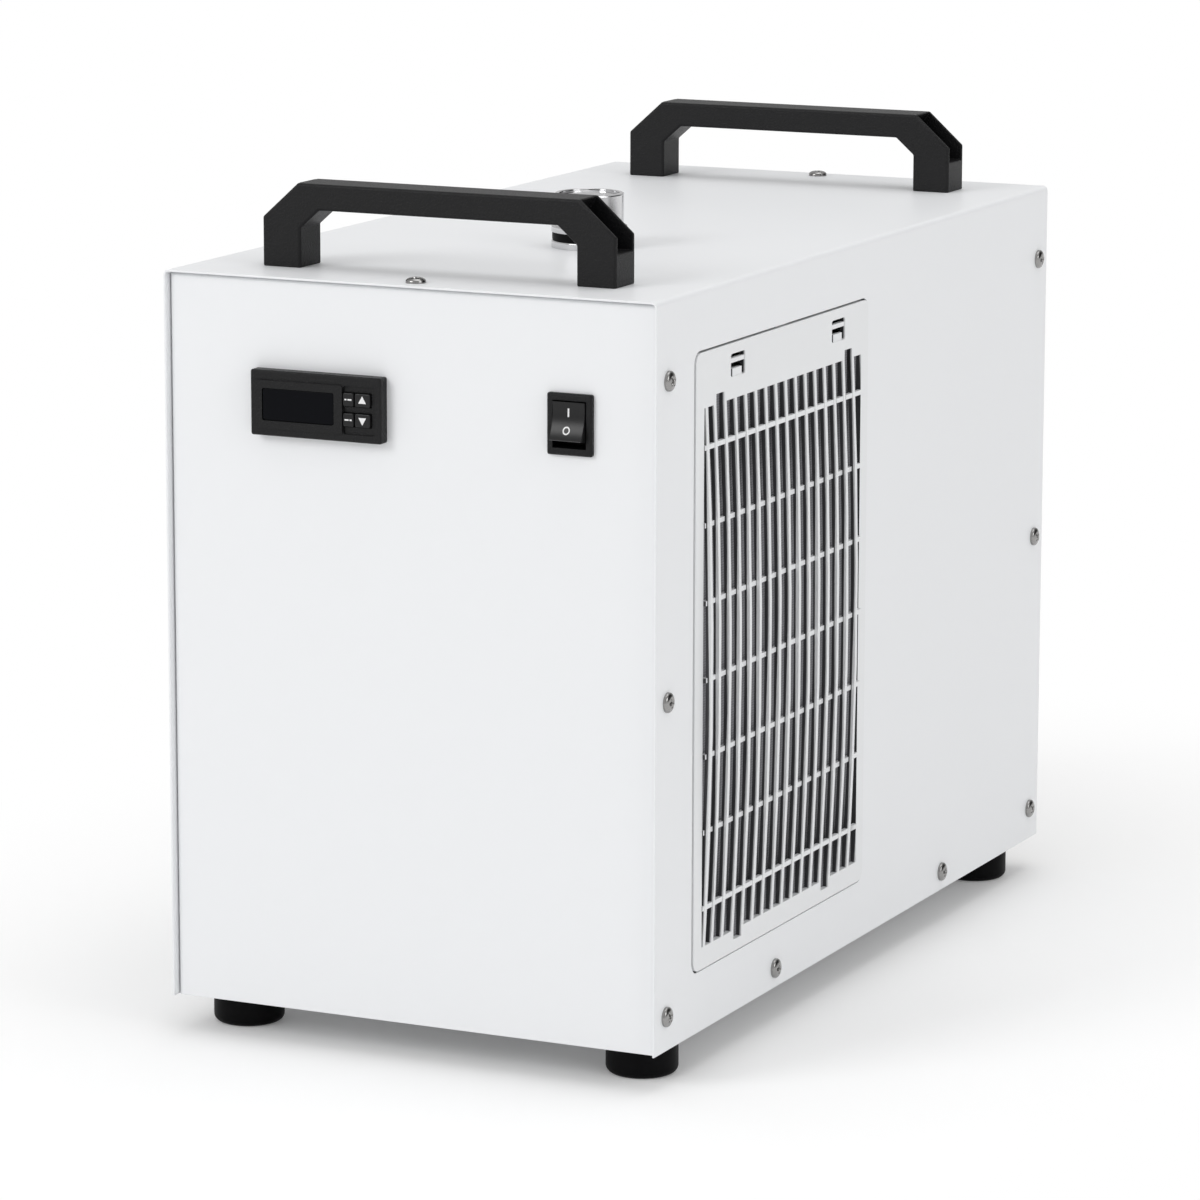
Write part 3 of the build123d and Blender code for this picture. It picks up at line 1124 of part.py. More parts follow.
# Compressor on grommets, accumulator strapped to its side
comp = (COMP_X, Y_MID + COMP_Y)
plate_z = Z_FLOOR + GROMMET_H
shell_low = plate_z + COMP_PLATE_T
comp_top = shell_low + COMP_H
acc_x = COMP_X + COMP_D / 2 + ACC_GAP + ACC_D / 2
acc_low = shell_low + ACC_UP
acc_top = acc_low + ACC_H
grommet_spots = [(COMP_X + sx * GROMMET_AT, comp[1] + sy * GROMMET_AT) for sx in (-1, 1) for sy in (-1, 1)]
discharge = (COMP_X - COMP_D / 5, comp[1])
with BuildPart() as compressor:
    with BuildSketch(Plane.XY.offset(shell_low)):
        with Locations(comp):
            Circle(COMP_D / 2)
    extrude(amount=COMP_H)
    chamfer(edges().group_by(Axis.Z)[0] + edges().group_by(Axis.Z)[-1], COMP_SHOULDER)
    with BuildSketch(Plane.XY.offset(plate_z)):
        with Locations(comp):
            RectangleRounded(COMP_PLATE, COMP_PLATE, TANK_ROUND)
    extrude(amount=COMP_PLATE_T)
    with BuildSketch(Plane.XY.offset(acc_low)):
        with Locations((acc_x, comp[1])):
            Circle(ACC_D / 2)
    extrude(amount=ACC_H)
    with Locations(((COMP_X + acc_x) / 2, comp[1], acc_low + ACC_H / 2)):
        Box(COMP_D / 2, ACC_GAP * 3, ACC_GAP * 4)
    with Locations((*discharge, comp_top)):
        Cylinder(STUB_D / 2, 2 * STUB_L)
    with Locations((acc_x, comp[1], acc_top)):
        Cylinder(STUB_D / 2, STUB_L, align=LOW)
    with BuildSketch(Plane.XY.offset(plate_z)):
        with Locations(*grommet_spots):
            Circle(STUB_D / 2 + HOLE_CLEAR)
    extrude(amount=COMP_PLATE_T, mode=Mode.SUBTRACT)
keep("compressor", compressor.part)

with BuildPart() as grommets:
    with Locations(*[(*spot, Z_FLOOR) for spot in grommet_spots]):
        Cylinder(GROMMET_D / 2, GROMMET_H, align=LOW)
        Cylinder(STUB_D / 2, GROMMET_H + 2 * COMP_PLATE_T, align=LOW)
keep("compressor_grommets", grommets.part)

# Pump: motor below, volute above, fed from the top
pump_at = (PUMP_X, Y_MID + PUMP_Y)
pump_motor_z = Z_FLOOR + PUMP_BASE_T
volute_z = pump_motor_z + PUMP_MOTOR_H
volute_top = volute_z + VOLUTE_H
delivery_z = volute_z + VOLUTE_H / 2
delivery_y = pump_at[1] + VOLUTE_D / 2 + STUB_L
with BuildPart() as pump:
    with Locations((*pump_at, Z_FLOOR)):
        Box(PUMP_BASE, PUMP_BASE, PUMP_BASE_T, align=LOW)
    with Locations((*pump_at, pump_motor_z)):
        Cylinder(PUMP_MOTOR_D / 2, PUMP_MOTOR_H, align=LOW)
    with Locations((*pump_at, volute_z)):
        Cylinder(VOLUTE_D / 2, VOLUTE_H, align=LOW)
    with Locations((*pump_at, volute_top)):
        Cylinder(SPIGOT_D / 2, STUB_L, align=LOW)
    with BuildSketch(facing_rear(HOSE_LANE, pump_at[1], delivery_z)):
        Circle(SPIGOT_D / 2)
    extrude(amount=VOLUTE_D / 2 + STUB_L)
keep("pump", pump.part)

# Control box on the base pan
with BuildPart() as control_box:
    with BuildSketch(Plane.XY.offset(Z_FLOOR)):
        with Locations((BOX_X, Y_MID + BOX_Y)):
            RectangleRounded(BOX_W, BOX_L, BOX_ROUND)
    extrude(amount=BOX_H - BOX_LID)
    with BuildSketch(Plane.XY.offset(Z_FLOOR + BOX_H - BOX_LID)):
        with Locations((BOX_X, Y_MID + BOX_Y)):
            RectangleRounded(BOX_W + BOX_LID, BOX_L + BOX_LID, BOX_ROUND)
    extrude(amount=BOX_LID)
keep("control_box", control_box.part)


# Water fittings in the rear panel: hex body, barb outside, spigot inside
def water_fitting(x):
    barb_end = Y_REAR + BARB_REACH
    barb_start = Y_BACK + HEX_T
    ridge_l = (barb_end - barb_start - 1) / BARB_RIDGES
    with BuildPart() as fitting:
        with BuildSketch(facing_rear(x, Y_BACK, pipe_z)):
            RegularPolygon(HEX_W / 2, 6, major_radius=False)
        extrude(amount=HEX_T)
        with BuildSketch(facing_rear(x, barb_start, pipe_z)):
            Circle(BARB_D / 2 - BARB_RIDGE)
        extrude(amount=barb_end - barb_start)
        for number in range(BARB_RIDGES):
            with Locations(Location((x, barb_start + 1 + ridge_l * number, pipe_z), (-90, 0, 0))):
                Cone(BARB_D / 2, BARB_D / 2 - BARB_RIDGE, ridge_l, align=LOW)
        with BuildSketch(facing_rear(x, Y_BACK_IN - THREAD_IN, pipe_z)):
            Circle(THREAD_D / 2)
        extrude(amount=THREAD_IN + SHEET)
        with BuildSketch(facing_rear(x, Y_BACK_IN - THREAD_IN - SPIGOT_L, pipe_z)):
            Circle(SPIGOT_D / 2)
        extrude(amount=SPIGOT_L)
        with BuildSketch(facing_rear(x, Y_BACK_IN - 2 * THREAD_IN, pipe_z)):
            Circle(BARB_BORE / 2)
        extrude(amount=4 * THREAD_IN + BARB_REACH, mode=Mode.SUBTRACT)
    return fitting.part


keep("water_outlet", water_fitting(OUTLET_X))
keep("water_return", water_fitting(RETURN_X))

with BuildPart() as fitting_nuts:
    with BuildSketch(facing_rear(0, Y_BACK_IN - NUT_H, 0)):
        for x in (OUTLET_X, RETURN_X):
            with Locations((-x, pipe_z)):
                RegularPolygon(HEX_W / 2, 6, major_radius=False)
                Circle(THREAD_D / 2 + PIN_FIT, mode=Mode.SUBTRACT)
    extrude(amount=NUT_H)
keep("fitting_nuts", fitting_nuts.part)

# Drain: fitting, seal and screw cap
drain_spigot = Y_BACK_IN - THREAD_IN - SPIGOT_L
with BuildPart() as drain_fitting:
    with BuildSketch(facing_rear(DRAIN_X, Y_BACK, drain_z)):
        RegularPolygon(HEX_W / 2, 6, major_radius=False)
    extrude(amount=DRAIN_FLANGE_T)
    with BuildSketch(facing_rear(DRAIN_X, Y_BACK_IN - THREAD_IN, drain_z)):
        Circle(DRAIN_D / 2)
    extrude(amount=THREAD_IN + SHEET + DRAIN_REACH)
    with BuildSketch(facing_rear(DRAIN_X, drain_spigot, drain_z)):
        Circle(SPIGOT_D / 2)
    extrude(amount=SPIGOT_L)
    with BuildSketch(facing_rear(DRAIN_X, drain_spigot - 1, drain_z)):
        Circle(SPIGOT_BORE / 2)
    extrude(amount=SPIGOT_L + THREAD_IN + 2 * DRAIN_REACH, mode=Mode.SUBTRACT)
keep("drain_fitting", drain_fitting.part)

drain_bore = DRAIN_D / 2 + CAP_GAP
drain_seal_y = Y_BACK + DRAIN_FLANGE_T
drain_cap_y = drain_seal_y + DRAIN_SEAL_T
with BuildPart() as drain_seal:
    with BuildSketch(facing_rear(DRAIN_X, drain_seal_y, drain_z)):
        Circle(DRAIN_CAP_D / 2 - 1)
        Circle(drain_bore, mode=Mode.SUBTRACT)
    extrude(amount=DRAIN_SEAL_T)
keep("drain_seal", drain_seal.part)

with BuildPart() as drain_cap:
    with BuildSketch(facing_rear(DRAIN_X, drain_cap_y, drain_z)):
        Circle(DRAIN_CAP_D / 2)
        with PolarLocations(DRAIN_CAP_D / 2 + DRAIN_FLUTE_OUT, DRAIN_FLUTES):
            Circle(DRAIN_FLUTE_R, mode=Mode.SUBTRACT)
    extrude(amount=DRAIN_CAP_L)
    with BuildSketch(facing_rear(DRAIN_X, drain_cap_y, drain_z)):
        Circle(drain_bore)
    extrude(amount=DRAIN_CAP_L - DRAIN_FLANGE_T, mode=Mode.SUBTRACT)
keep("drain_cap", drain_cap.part)

# Level gauge: two ported ends on a back strip, sight tube between them
with BuildPart() as level_gauge:
    with BuildSketch(facing_rear(GAUGE_X, Y_BACK, gauge_mid)):
        RectangleRounded(GAUGE_W, GAUGE_SPAN + GAUGE_END, 2)
    extrude(amount=2)
    block_t = GAUGE_TUBE_D + 3
    with BuildSketch(facing_rear(GAUGE_X, Y_BACK, 0)):
        with Locations((0, gauge_low), (0, gauge_high)):
            RectangleRounded(GAUGE_W, GAUGE_END, 2)
    extrude(amount=block_t)
    with BuildSketch(facing_rear(GAUGE_X, drain_spigot, 0)):
        with Locations((0, gauge_low), (0, gauge_high)):
            Circle(SPIGOT_D / 2)
    extrude(amount=SPIGOT_L + THREAD_IN + SHEET)
keep("level_gauge", level_gauge.part)

with BuildPart() as gauge_tube:
    with Locations((GAUGE_X, Y_BACK + block_t - GAUGE_TUBE_D / 2 - 0.5, gauge_mid)):
        Cylinder(GAUGE_TUBE_D / 2, GAUGE_SPAN - GAUGE_END)
keep("gauge_tube", gauge_tube.part)

# Inlet socket with its pins and a fuse drawer below
socket_face = Y_BACK + SOCKET_FACE_T
drawer_z = socket_z - DRAWER_DOWN
hole_z = socket_z + SOCKET_HOLE_UP
with BuildPart() as inlet_socket:
    with BuildSketch(facing_rear(SOCKET_X, Y_BACK, socket_z)):
        RectangleRounded(SOCKET_W, SOCKET_H, 2)
    extrude(amount=SOCKET_FACE_T)
    with BuildSketch(facing_rear(SOCKET_X, Y_BACK - SOCKET_BODY_L, socket_z)):
        Rectangle(SOCKET_BODY_W, SOCKET_BODY_H)
    extrude(amount=SOCKET_BODY_L)
    with BuildSketch(facing_rear(SOCKET_X, socket_face - SOCKET_DEEP, hole_z)):
        Rectangle(SOCKET_HOLE_W, SOCKET_HOLE_H)
    extrude(amount=SOCKET_DEEP, mode=Mode.SUBTRACT)
    with BuildSketch(facing_rear(SOCKET_X, socket_face - DRAWER_L - DRAWER_GAP, drawer_z)):
        Rectangle(DRAWER_W + 2 * DRAWER_GAP, DRAWER_H + 2 * DRAWER_GAP)
    extrude(amount=DRAWER_L + 1, mode=Mode.SUBTRACT)
    with BuildSketch(facing_rear(SOCKET_X, socket_face - SOCKET_DEEP, hole_z)):
        with Locations((-SOCKET_PIN_X, SOCKET_PIN_Z), (SOCKET_PIN_X, SOCKET_PIN_Z), (0, -SOCKET_PIN_Z)):
            Rectangle(SOCKET_PIN_W, SOCKET_PIN_H)
    extrude(amount=SOCKET_PIN_L)
keep("inlet_socket", inlet_socket.part)

with BuildPart() as fuse_drawer:
    with BuildSketch(facing_rear(SOCKET_X, socket_face - DRAWER_L, drawer_z)):
        Rectangle(DRAWER_W, DRAWER_H)
    extrude(amount=DRAWER_L + DRAWER_PULL)
    with Locations((SOCKET_X, socket_face - DRAWER_L / 2 - 1, drawer_z + DRAWER_H / 2)):
        Box(DRAWER_W - 4, DRAWER_L - 6, DRAWER_H - 2, mode=Mode.SUBTRACT)
keep("fuse_drawer", fuse_drawer.part)

# Alarm connector, a round panel connector with four pins
with BuildPart() as alarm_connector:
    with BuildSketch(facing_rear(ALARM_X, Y_BACK, alarm_z)):
        Circle(ALARM_NUT_D / 2)
    extrude(amount=ALARM_NUT_T)
    with BuildSketch(facing_rear(ALARM_X, Y_BACK_IN - ALARM_IN, alarm_z)):
        Circle(ALARM_D / 2)
    extrude(amount=ALARM_IN + SHEET + ALARM_REACH)
    with BuildSketch(facing_rear(ALARM_X, Y_BACK + ALARM_REACH - ALARM_DEEP, alarm_z)):
        Circle(ALARM_BORE / 2)
    extrude(amount=ALARM_DEEP, mode=Mode.SUBTRACT)
    with BuildSketch(facing_rear(ALARM_X, Y_BACK + ALARM_REACH - ALARM_DEEP, alarm_z)):
        with PolarLocations(ALARM_PINS_AT, 4):
            Circle(ALARM_PIN_R)
    extrude(amount=ALARM_PIN_L)
keep("alarm_connector", alarm_connector.part)

# Hoses
spigot_front = tank_front - SPIGOT_L
spigot_back = tank_back + SPIGOT_L
riser_y = core_back + RISER_BEHIND
keep(
    "hose_suction",
    pipe_run(
        [(*pump_at, volute_top + STUB_L), (*pump_at, suction_z), (PUMP_X, spigot_front, suction_z)],
        HOSE_D,
        HOSE_BEND,
    ),
)
keep(
    "hose_delivery",
    pipe_run(
        [
            (HOSE_LANE, delivery_y, delivery_z),
            (HOSE_LANE, riser_y, delivery_z),
            (HOSE_LANE, riser_y, pipe_z),
            (OUTLET_X, riser_y, pipe_z),
            (OUTLET_X, drain_spigot, pipe_z),
        ],
        HOSE_D,
        HOSE_TIGHT,
    ),
)
keep(
    "hose_drain",
    pipe_run(
        [
            (DRAIN_X, spigot_back, suction_z),
            (DRAIN_X, riser_y, suction_z),
            (DRAIN_X, riser_y, drain_z),
            (DRAIN_X, drain_spigot, drain_z),
        ],
        HOSE_D,
        HOSE_TIGHT,
    ),
)
with BuildPart() as straight_hoses:
    with BuildSketch(facing_rear(0, spigot_back, 0)):
        with Locations((-RETURN_X, pipe_z), (-GAUGE_X, gauge_low), (-GAUGE_X, gauge_high)):
            Circle(HOSE_D / 2)
    extrude(amount=drain_spigot - spigot_back)
keep("hoses_straight", straight_hoses.part)

# Refrigerant pipes and the dryer
dryer_front = Y_MID + DRYER_Y - DRYER_L / 2
dryer_back = dryer_front + DRYER_L
coil_end = tank_front - COIL_STUB
keep(
    "pipe_discharge",
    pipe_run(
        [
            (*discharge, comp_top + STUB_L),
            (*discharge, gas_port_z),
            (GAS_LANE, comp[1], gas_port_z),
            (GAS_LANE, core_y - STUB_L, gas_port_z),
        ],
        GAS_PIPE_D,
        PIPE_BEND,
    ),
)
keep(
    "pipe_suction",
    pipe_run(
        [
            (coil_half, coil_end, coil_z),
            (coil_half, comp[1], coil_z),
            (acc_x, comp[1], coil_z),
            (acc_x, comp[1], acc_top + STUB_L),
        ],
        GAS_PIPE_D,
        PIPE_BEND,
    ),
)
lane_y = tank_front + STAND_FOOT / 2
turn_y = coil_end - 2 * STAND_FOOT
with BuildPart() as dryer:
    with BuildSketch(facing_rear(LIQUID_LANE, dryer_front, liquid_port_z)):
        Circle(DRYER_D / 2)
    extrude(amount=DRYER_L)
    chamfer(edges().group_by(Axis.Y)[0] + edges().group_by(Axis.Y)[-1], DRYER_TAPER)
keep("filter_dryer", dryer.part)
feed = pipe_run(
    [
        (LIQUID_LANE, dryer_front, liquid_port_z),
        (LIQUID_LANE, lane_y, liquid_port_z),
        (LIQUID_LANE, lane_y, coil_z),
        (LIQUID_LANE, turn_y, coil_z),
        (-coil_half, turn_y, coil_z),
        (-coil_half, coil_end, coil_z),
    ],
    LIQUID_PIPE_D,
    PIPE_BEND,
)
with BuildPart() as pipe_liquid:
    add(feed)
    with BuildSketch(facing_rear(LIQUID_LANE, dryer_back, liquid_port_z)):
        Circle(LIQUID_PIPE_D / 2)
    extrude(amount=core_y - STUB_L - dryer_back)
keep("pipe_liquid", pipe_liquid.part)

os.makedirs("parts", exist_ok=True)
for name, part in pieces.items():
    export_step(part, f"parts/{name}.step")
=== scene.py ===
"""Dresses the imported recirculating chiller: casing, grilles, controls, rear, inside and a plain studio."""

import json
from math import cos, pi, radians, sin, tau

import bmesh
import bpy
import numpy as np
from bpy.props import FloatProperty, FloatVectorProperty, IntProperty, PointerProperty
from mathutils import Matrix, Vector


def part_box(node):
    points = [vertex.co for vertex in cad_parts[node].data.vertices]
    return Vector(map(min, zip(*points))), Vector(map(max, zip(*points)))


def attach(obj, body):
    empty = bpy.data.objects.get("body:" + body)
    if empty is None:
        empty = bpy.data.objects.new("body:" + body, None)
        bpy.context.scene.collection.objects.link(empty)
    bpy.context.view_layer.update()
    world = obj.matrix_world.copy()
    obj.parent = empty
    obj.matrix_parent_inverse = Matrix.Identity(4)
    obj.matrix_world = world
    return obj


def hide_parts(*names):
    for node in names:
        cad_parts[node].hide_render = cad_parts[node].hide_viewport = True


bl_info = {
    "name": "Recirculating chiller",
    "version": (1, 0, 0),
    "blender": (4, 5, 0),
    "location": "3D View > Sidebar > Chiller",
    "description": "Builds the looks of a recirculating chiller around its packed frame",
    "category": "Object",
}

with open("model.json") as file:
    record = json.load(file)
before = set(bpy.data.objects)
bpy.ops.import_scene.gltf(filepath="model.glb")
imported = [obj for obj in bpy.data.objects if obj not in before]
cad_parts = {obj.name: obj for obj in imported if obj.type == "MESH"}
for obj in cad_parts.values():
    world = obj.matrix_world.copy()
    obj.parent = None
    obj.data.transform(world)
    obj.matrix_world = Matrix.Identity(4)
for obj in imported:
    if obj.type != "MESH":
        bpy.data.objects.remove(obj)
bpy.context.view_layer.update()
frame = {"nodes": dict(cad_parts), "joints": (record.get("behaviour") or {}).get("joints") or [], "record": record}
NODES = frame["nodes"]
SLOTS = {row["node"]: row["material_slot"] for row in frame["record"]["subparts"]}
MM = 0.001

# Meshes: distance in metres under which points merge, and the angles in degrees that count as flat and sharp
WELD_CAD = 2e-6
WELD_NEW = 1e-7
FLAT_UNDER = 0.8
SHARP_OVER = 32

# Casing and its screws, in millimetres as all lengths down to the studio, with places from the cover's box
CASE_HALF_W = 145.0
CASE_D = 560.0
Y_MID = (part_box("cover")[0].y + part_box("cover")[1].y) / 2 / MM
Z_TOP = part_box("cover")[1].z / MM
Z_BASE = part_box("cover")[0].z / MM
SCREW_COLUMN = 14.6  # in from the casing's front and rear ends
SCREW_HEIGHTS = (19.0, 188.25, 357.5)  # above the casing's underside, as the row at the base
BASE_ROW_Y = 122.3
BASE_ROW_Z = 11.2
TOP_SCREW_IN = 12.6
SCREW_SEED = 7
HEAD_RINGS, HEAD_STEPS = 26, 64
HEAD_RIM = 5.4  # radius of a screw's pan head
HEAD_HIGH = 3.0
HEAD_SIDE = 0.9  # height of the head's upright edge
HEAD_POWER = 2.6
HEAD_OVER = 0.05  # the dome is reckoned this much wider than the rim, so its edge is less steep
RECESS_ARM = 0.62  # half the width of the cross recess
RECESS_CUT, RECESS_SLOPE = 1.6, 1.1  # share of the depth at an arm's middle, and its loss per half width
RECESS_DEEP = 1.7
RECESS_REACH = 2.9
RECESS_FADE = 1.1
CROSS_TIP = 2.5  # reach, underside and top of the dark cross of painted shade in the recess
CROSS_LOW, CROSS_HIGH = 1.4, 1.75

# Grille: face of the frame, bow of the blades, window that they fill, and the depths over which painted shade
# darkens a blade's flank
GRILLE_FACE = 145.6
BLADE_CROWN = 3.9
WINDOW_Y = -115.8  # from the casing's middle
WINDOW_Z = 211.6  # above the floor
WINDOW_HALF_W = 106.2
WINDOW_HALF_H = 145.4
# painted shade on the blades' flanks: it starts at the first depth and is full near black at the second
FLANK_SHADE_DEPTHS = (0.35, 1.3)
FLANK_SHADE_COLOR = (0.035, 0.035, 0.038, 1)
FLANK_TURN = 0.7  # sideways part of a face's normal from which it counts as a flank

# Filler cap and its seal
CAP_BODY_R = 19.0
CAP_SKIRT_R = 21.0
CAP_BORE_R = 15.8
CAP_DISH_R = 16.5
CAP_SKIRT_T = 3.5
CAP_DISH_DEEP = 1.4
CAP_TOP_T = 4.0
SEAL_R = 20.5
SEAL_ROUND = 0.8
CAP_POLE_R = 0.02  # a pinhole at the middle keeps the turned shell a plain grid
SKIRT_LOW_ROUND, SKIRT_HIGH_ROUND = 0.5, 0.6
NECK_ROUND, RIM_ROUND = 0.4, 0.9
LIP_ROUND, DISH_ROUND = 0.4, 0.5
SEAL_BELOW = 0.03  # keeps the seal's top clear of the cap

# Controller and keys: corner radius, rounding of the front edge, and the rings that fill a front face
WINDOW_CORNER, WINDOW_EDGE = 1.2, 0.25
KEY_CORNER, KEY_EDGE = 0.9, 0.6
FACE_SHARES = (0.7, 0.35, 0.02)
LEAST_CORNER = 0.01
PRINT_T = 0.03
PRINT_SUNK = 0.2
ARROW_HALF_W, ARROW_FOOT, ARROW_TIP = 2.3, 1.6, 2.4
DASH_END, DASH_HALF_H = 2.1, 0.4
DASH_SHORT, DASH_LONG = 0.9, 0.3  # where a short and a long dash start, from the key's middle


def dash(start, end):
    """Outline of a short bar on a key, from one X to another."""
    return [(start, -DASH_HALF_H), (end, -DASH_HALF_H), (end, DASH_HALF_H), (start, DASH_HALF_H)]


KEY_MARKS = {
    "key_set": [dash(-DASH_END, -DASH_SHORT), dash(-DASH_LONG, DASH_END)],
    "key_menu": [dash(-DASH_END, DASH_LONG), dash(DASH_SHORT, DASH_END)],
    "key_up": [[(-ARROW_HALF_W, -ARROW_FOOT), (ARROW_HALF_W, -ARROW_FOOT), (0, ARROW_TIP)]],
    "key_down": [[(-ARROW_HALF_W, ARROW_FOOT), (0, -ARROW_TIP), (ARROW_HALF_W, ARROW_FOOT)]],
}

# Rocker's hollow face: lip and half height before the pivot, depth of the hollow and the tilt at rest
ROCKER_LIP = 9.6
ROCKER_HALF = 10.2
ROCKER_DISH = 2.2
ROCKER_TILT = radians(-13)
RING_PLACE = (-0.3, -4.6)
RING_OUT, RING_IN = 2.05, 1.35
RING_TALL = 1.1
RING_STEPS = 48
BAR_HALF_W, BAR_LOW, BAR_HIGH = 0.45, 2.6, 7.0
MARK_SUNK = 0.1

# Feet: outer radius, height, rounding under the foot, screw hole and the pocket round its head
FOOT_R = 19.5
FOOT_H = 20.0
FOOT_ROUND = 4.0
FOOT_HOLE_R = 2.7
FOOT_POCKET_R = 7.0
FOOT_POCKET_H = 11.0
POCKET_CHAMFER, FOOT_CHAMFER = 0.4, 0.5

# Pieces that are softened copies: node, body and rounding of the edges, and inside only node and rounding
REAR_PIECES = (
    ("fan_rotor", "fan", 0.3), ("fan_motor", "casing", 0.3), ("water_outlet", "casing", 0.2),
    ("water_return", "casing", 0.2), ("fitting_nuts", "casing", 0.25), ("drain_fitting", "casing", 0.2),
    ("drain_cap", "drain_cap", 0.25), ("drain_seal", "drain_lift", 0.2), ("inlet_socket", "casing", 0.3),
    ("fuse_drawer", "fuse_drawer", 0.2), ("alarm_connector", "casing", 0.25), ("level_gauge", "casing", 0.3),
    ("gauge_tube", "casing", 0.1),
)
INSIDE_PIECES = (
    ("base_pan", 0.3), ("tank_stand", 0.3), ("fan_shroud", 0.3), ("condenser", 0.0), ("compressor", 0.6),
    ("compressor_grommets", 0.3), ("pump", 0.4), ("tank", 0.6), ("evaporator_coil", 0.0),
    ("control_box", 0.3), ("filter_dryer", 0.0), ("pipe_discharge", 0.0), ("pipe_liquid", 0.0),
    ("pipe_suction", 0.0),
    ("hose_delivery", 0.0), ("hose_drain", 0.0), ("hose_suction", 0.0), ("hoses_straight", 0.0),
    ("filler_neck", 0.25), ("filler_nut", 0.25), ("foot_screws", 0.15), ("handle_bolts", 0.2),
)
FILTER_EDGE = 0.4

# Fan guard: radii of the rings, wire thickness and sides of the wire
GUARD_RINGS = (94.0, 80.0, 66.0, 52.0, 38.0, 24.0)
GUARD_WIRE = 2.2
GUARD_ROUND = 12

# Studio, in metres: strength of the sky and of the floor's lift, and where the floor fades to white
SKY = 0.60
FLOOR_REACH = 30.0
FLOOR_LIFT = 0.10
FLOOR_FADE = (0.34, 0.78)
FLOOR_STRETCH = (1.5, 1.0, 1.0)
WHITE = (1, 1, 1, 1)

# The way to a dark card that only reflections show, and its fade: from, to, strength outside, strength inside
CARD_WAY = (0.80, 0.58, 0.12)
CARD_FADE = (0.74, 0.90, 0.60, 0.03)

# Softboxes: name, place, aim and size in metres, and power in watts
LAMPS = (
    ("key softbox", (-1.8, -3.2, 2.2), (0, -0.2, 0.25), (1.6, 1.6), 46),
    ("side softbox", (3.4, -0.9, 1.8), (0.1, 0, 0.22), (1.8, 1.6), 21),
    ("top softbox", (0.2, 0.3, 3.2), (0, 0, 0.3), (2.0, 2.0), 24),
)

# Camera: turns in degrees, then place from the casing's middle and underside and sensor in millimetres
CAMERA_YAW, CAMERA_PITCH, CAMERA_ROLL = 25.369, 11.113, 0.108
CAMERA_PLACE = (1313.71, -2812.00, 792.94)
SENSOR_W = 36
CAMERA_SIGHT = 100  # metres


# Meshes
def grid_faces(rows, columns, wrap_rows=False, wrap_columns=False, start=0):
    """Quads between neighbours of a grid of rows by columns points; a wrapped way closes on itself."""
    index = start + np.arange(rows * columns).reshape(rows, columns)
    if wrap_rows:
        index = np.vstack([index, index[:1]])
    if wrap_columns:
        index = np.hstack([index, index[:, :1]])
    return np.stack([index[:-1, :-1], index[:-1, 1:], index[1:, 1:], index[1:, :-1]], -1).reshape(-1, 4)


class Shell:
    """Gathers grids of points and flat caps, in millimetres, and turns them into one mesh object."""

    def __init__(self):
        self.points, self.faces, self.count = [], [], 0

    def grid(self, points, wrap_rows=False, wrap_columns=False, cap_first=False, cap_last=False):
        rows, columns = points.shape[:2]
        self.points.append(points.reshape(-1, 3))
        self.faces += grid_faces(rows, columns, wrap_rows, wrap_columns, self.count).tolist()
        if cap_first:
            self.faces.append([self.count + i for i in range(columns)])
        if cap_last:
            self.faces.append([self.count + (rows - 1) * columns + i for i in range(columns)])
        self.count += rows * columns
        return self

    def object(self, name, smooth=35):
        mesh = bpy.data.meshes.new(name)
        mesh.from_pydata((np.concatenate(self.points) * MM).tolist(), [], self.faces)
        return finish_mesh(name, mesh, smooth)


def finish_mesh(name, mesh, smooth):
    """Merges doubled points, turns faces outwards, shades smooth below an angle and links the object."""
    work = bmesh.new()
    work.from_mesh(mesh)
    bmesh.ops.remove_doubles(work, verts=work.verts, dist=WELD_NEW)
    bmesh.ops.recalc_face_normals(work, faces=work.faces)
    work.to_mesh(mesh)
    work.free()
    mesh.shade_smooth()
    mesh.set_sharp_from_angle(angle=radians(smooth))
    obj = bpy.data.objects.new(name, mesh)
    bpy.context.scene.collection.objects.link(obj)
    return obj


def place(obj, body, slot, material, *replaced):
    """Gives a piece its material and its body and hides the nodes that it stands for. The slot is not used."""
    obj.data.materials.clear()
    obj.data.materials.append(material)
    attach(obj, body)
    if replaced:
        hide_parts(*replaced)
    return obj


def dressed(name, part, edge, smooth=40, clamp=False):
    """A copy of a CAD node: doubled points merged, flat triangles joined and sharp edges rounded over."""
    work = bmesh.new()
    work.from_mesh(NODES[part].data)
    bmesh.ops.remove_doubles(work, verts=work.verts, dist=WELD_CAD)
    bmesh.ops.dissolve_limit(work, angle_limit=radians(FLAT_UNDER), verts=work.verts, edges=work.edges)
    mesh = bpy.data.meshes.new(name)
    work.to_mesh(mesh)
    work.free()
    obj = bpy.data.objects.new(name, mesh)
    bpy.context.scene.collection.objects.link(obj)
    if edge:
        bevel = obj.modifiers.new("soft edges", "BEVEL")
        bevel.width = edge * MM
        bevel.segments = 2
        bevel.limit_method = "ANGLE"
        bevel.angle_limit = radians(SHARP_OVER)
        bevel.use_clamp_overlap = clamp
        bpy.context.view_layer.update()
        state = bpy.context.evaluated_depsgraph_get()
        rounded = bpy.data.meshes.new_from_object(obj.evaluated_get(state))
        obj.modifiers.clear()
        obj.data = rounded
    obj.data.shade_smooth()
    obj.data.set_sharp_from_angle(angle=radians(smooth))
    weighted = obj.modifiers.new("flat faces stay flat", "WEIGHTED_NORMAL")
    weighted.keep_sharp = True
    return obj


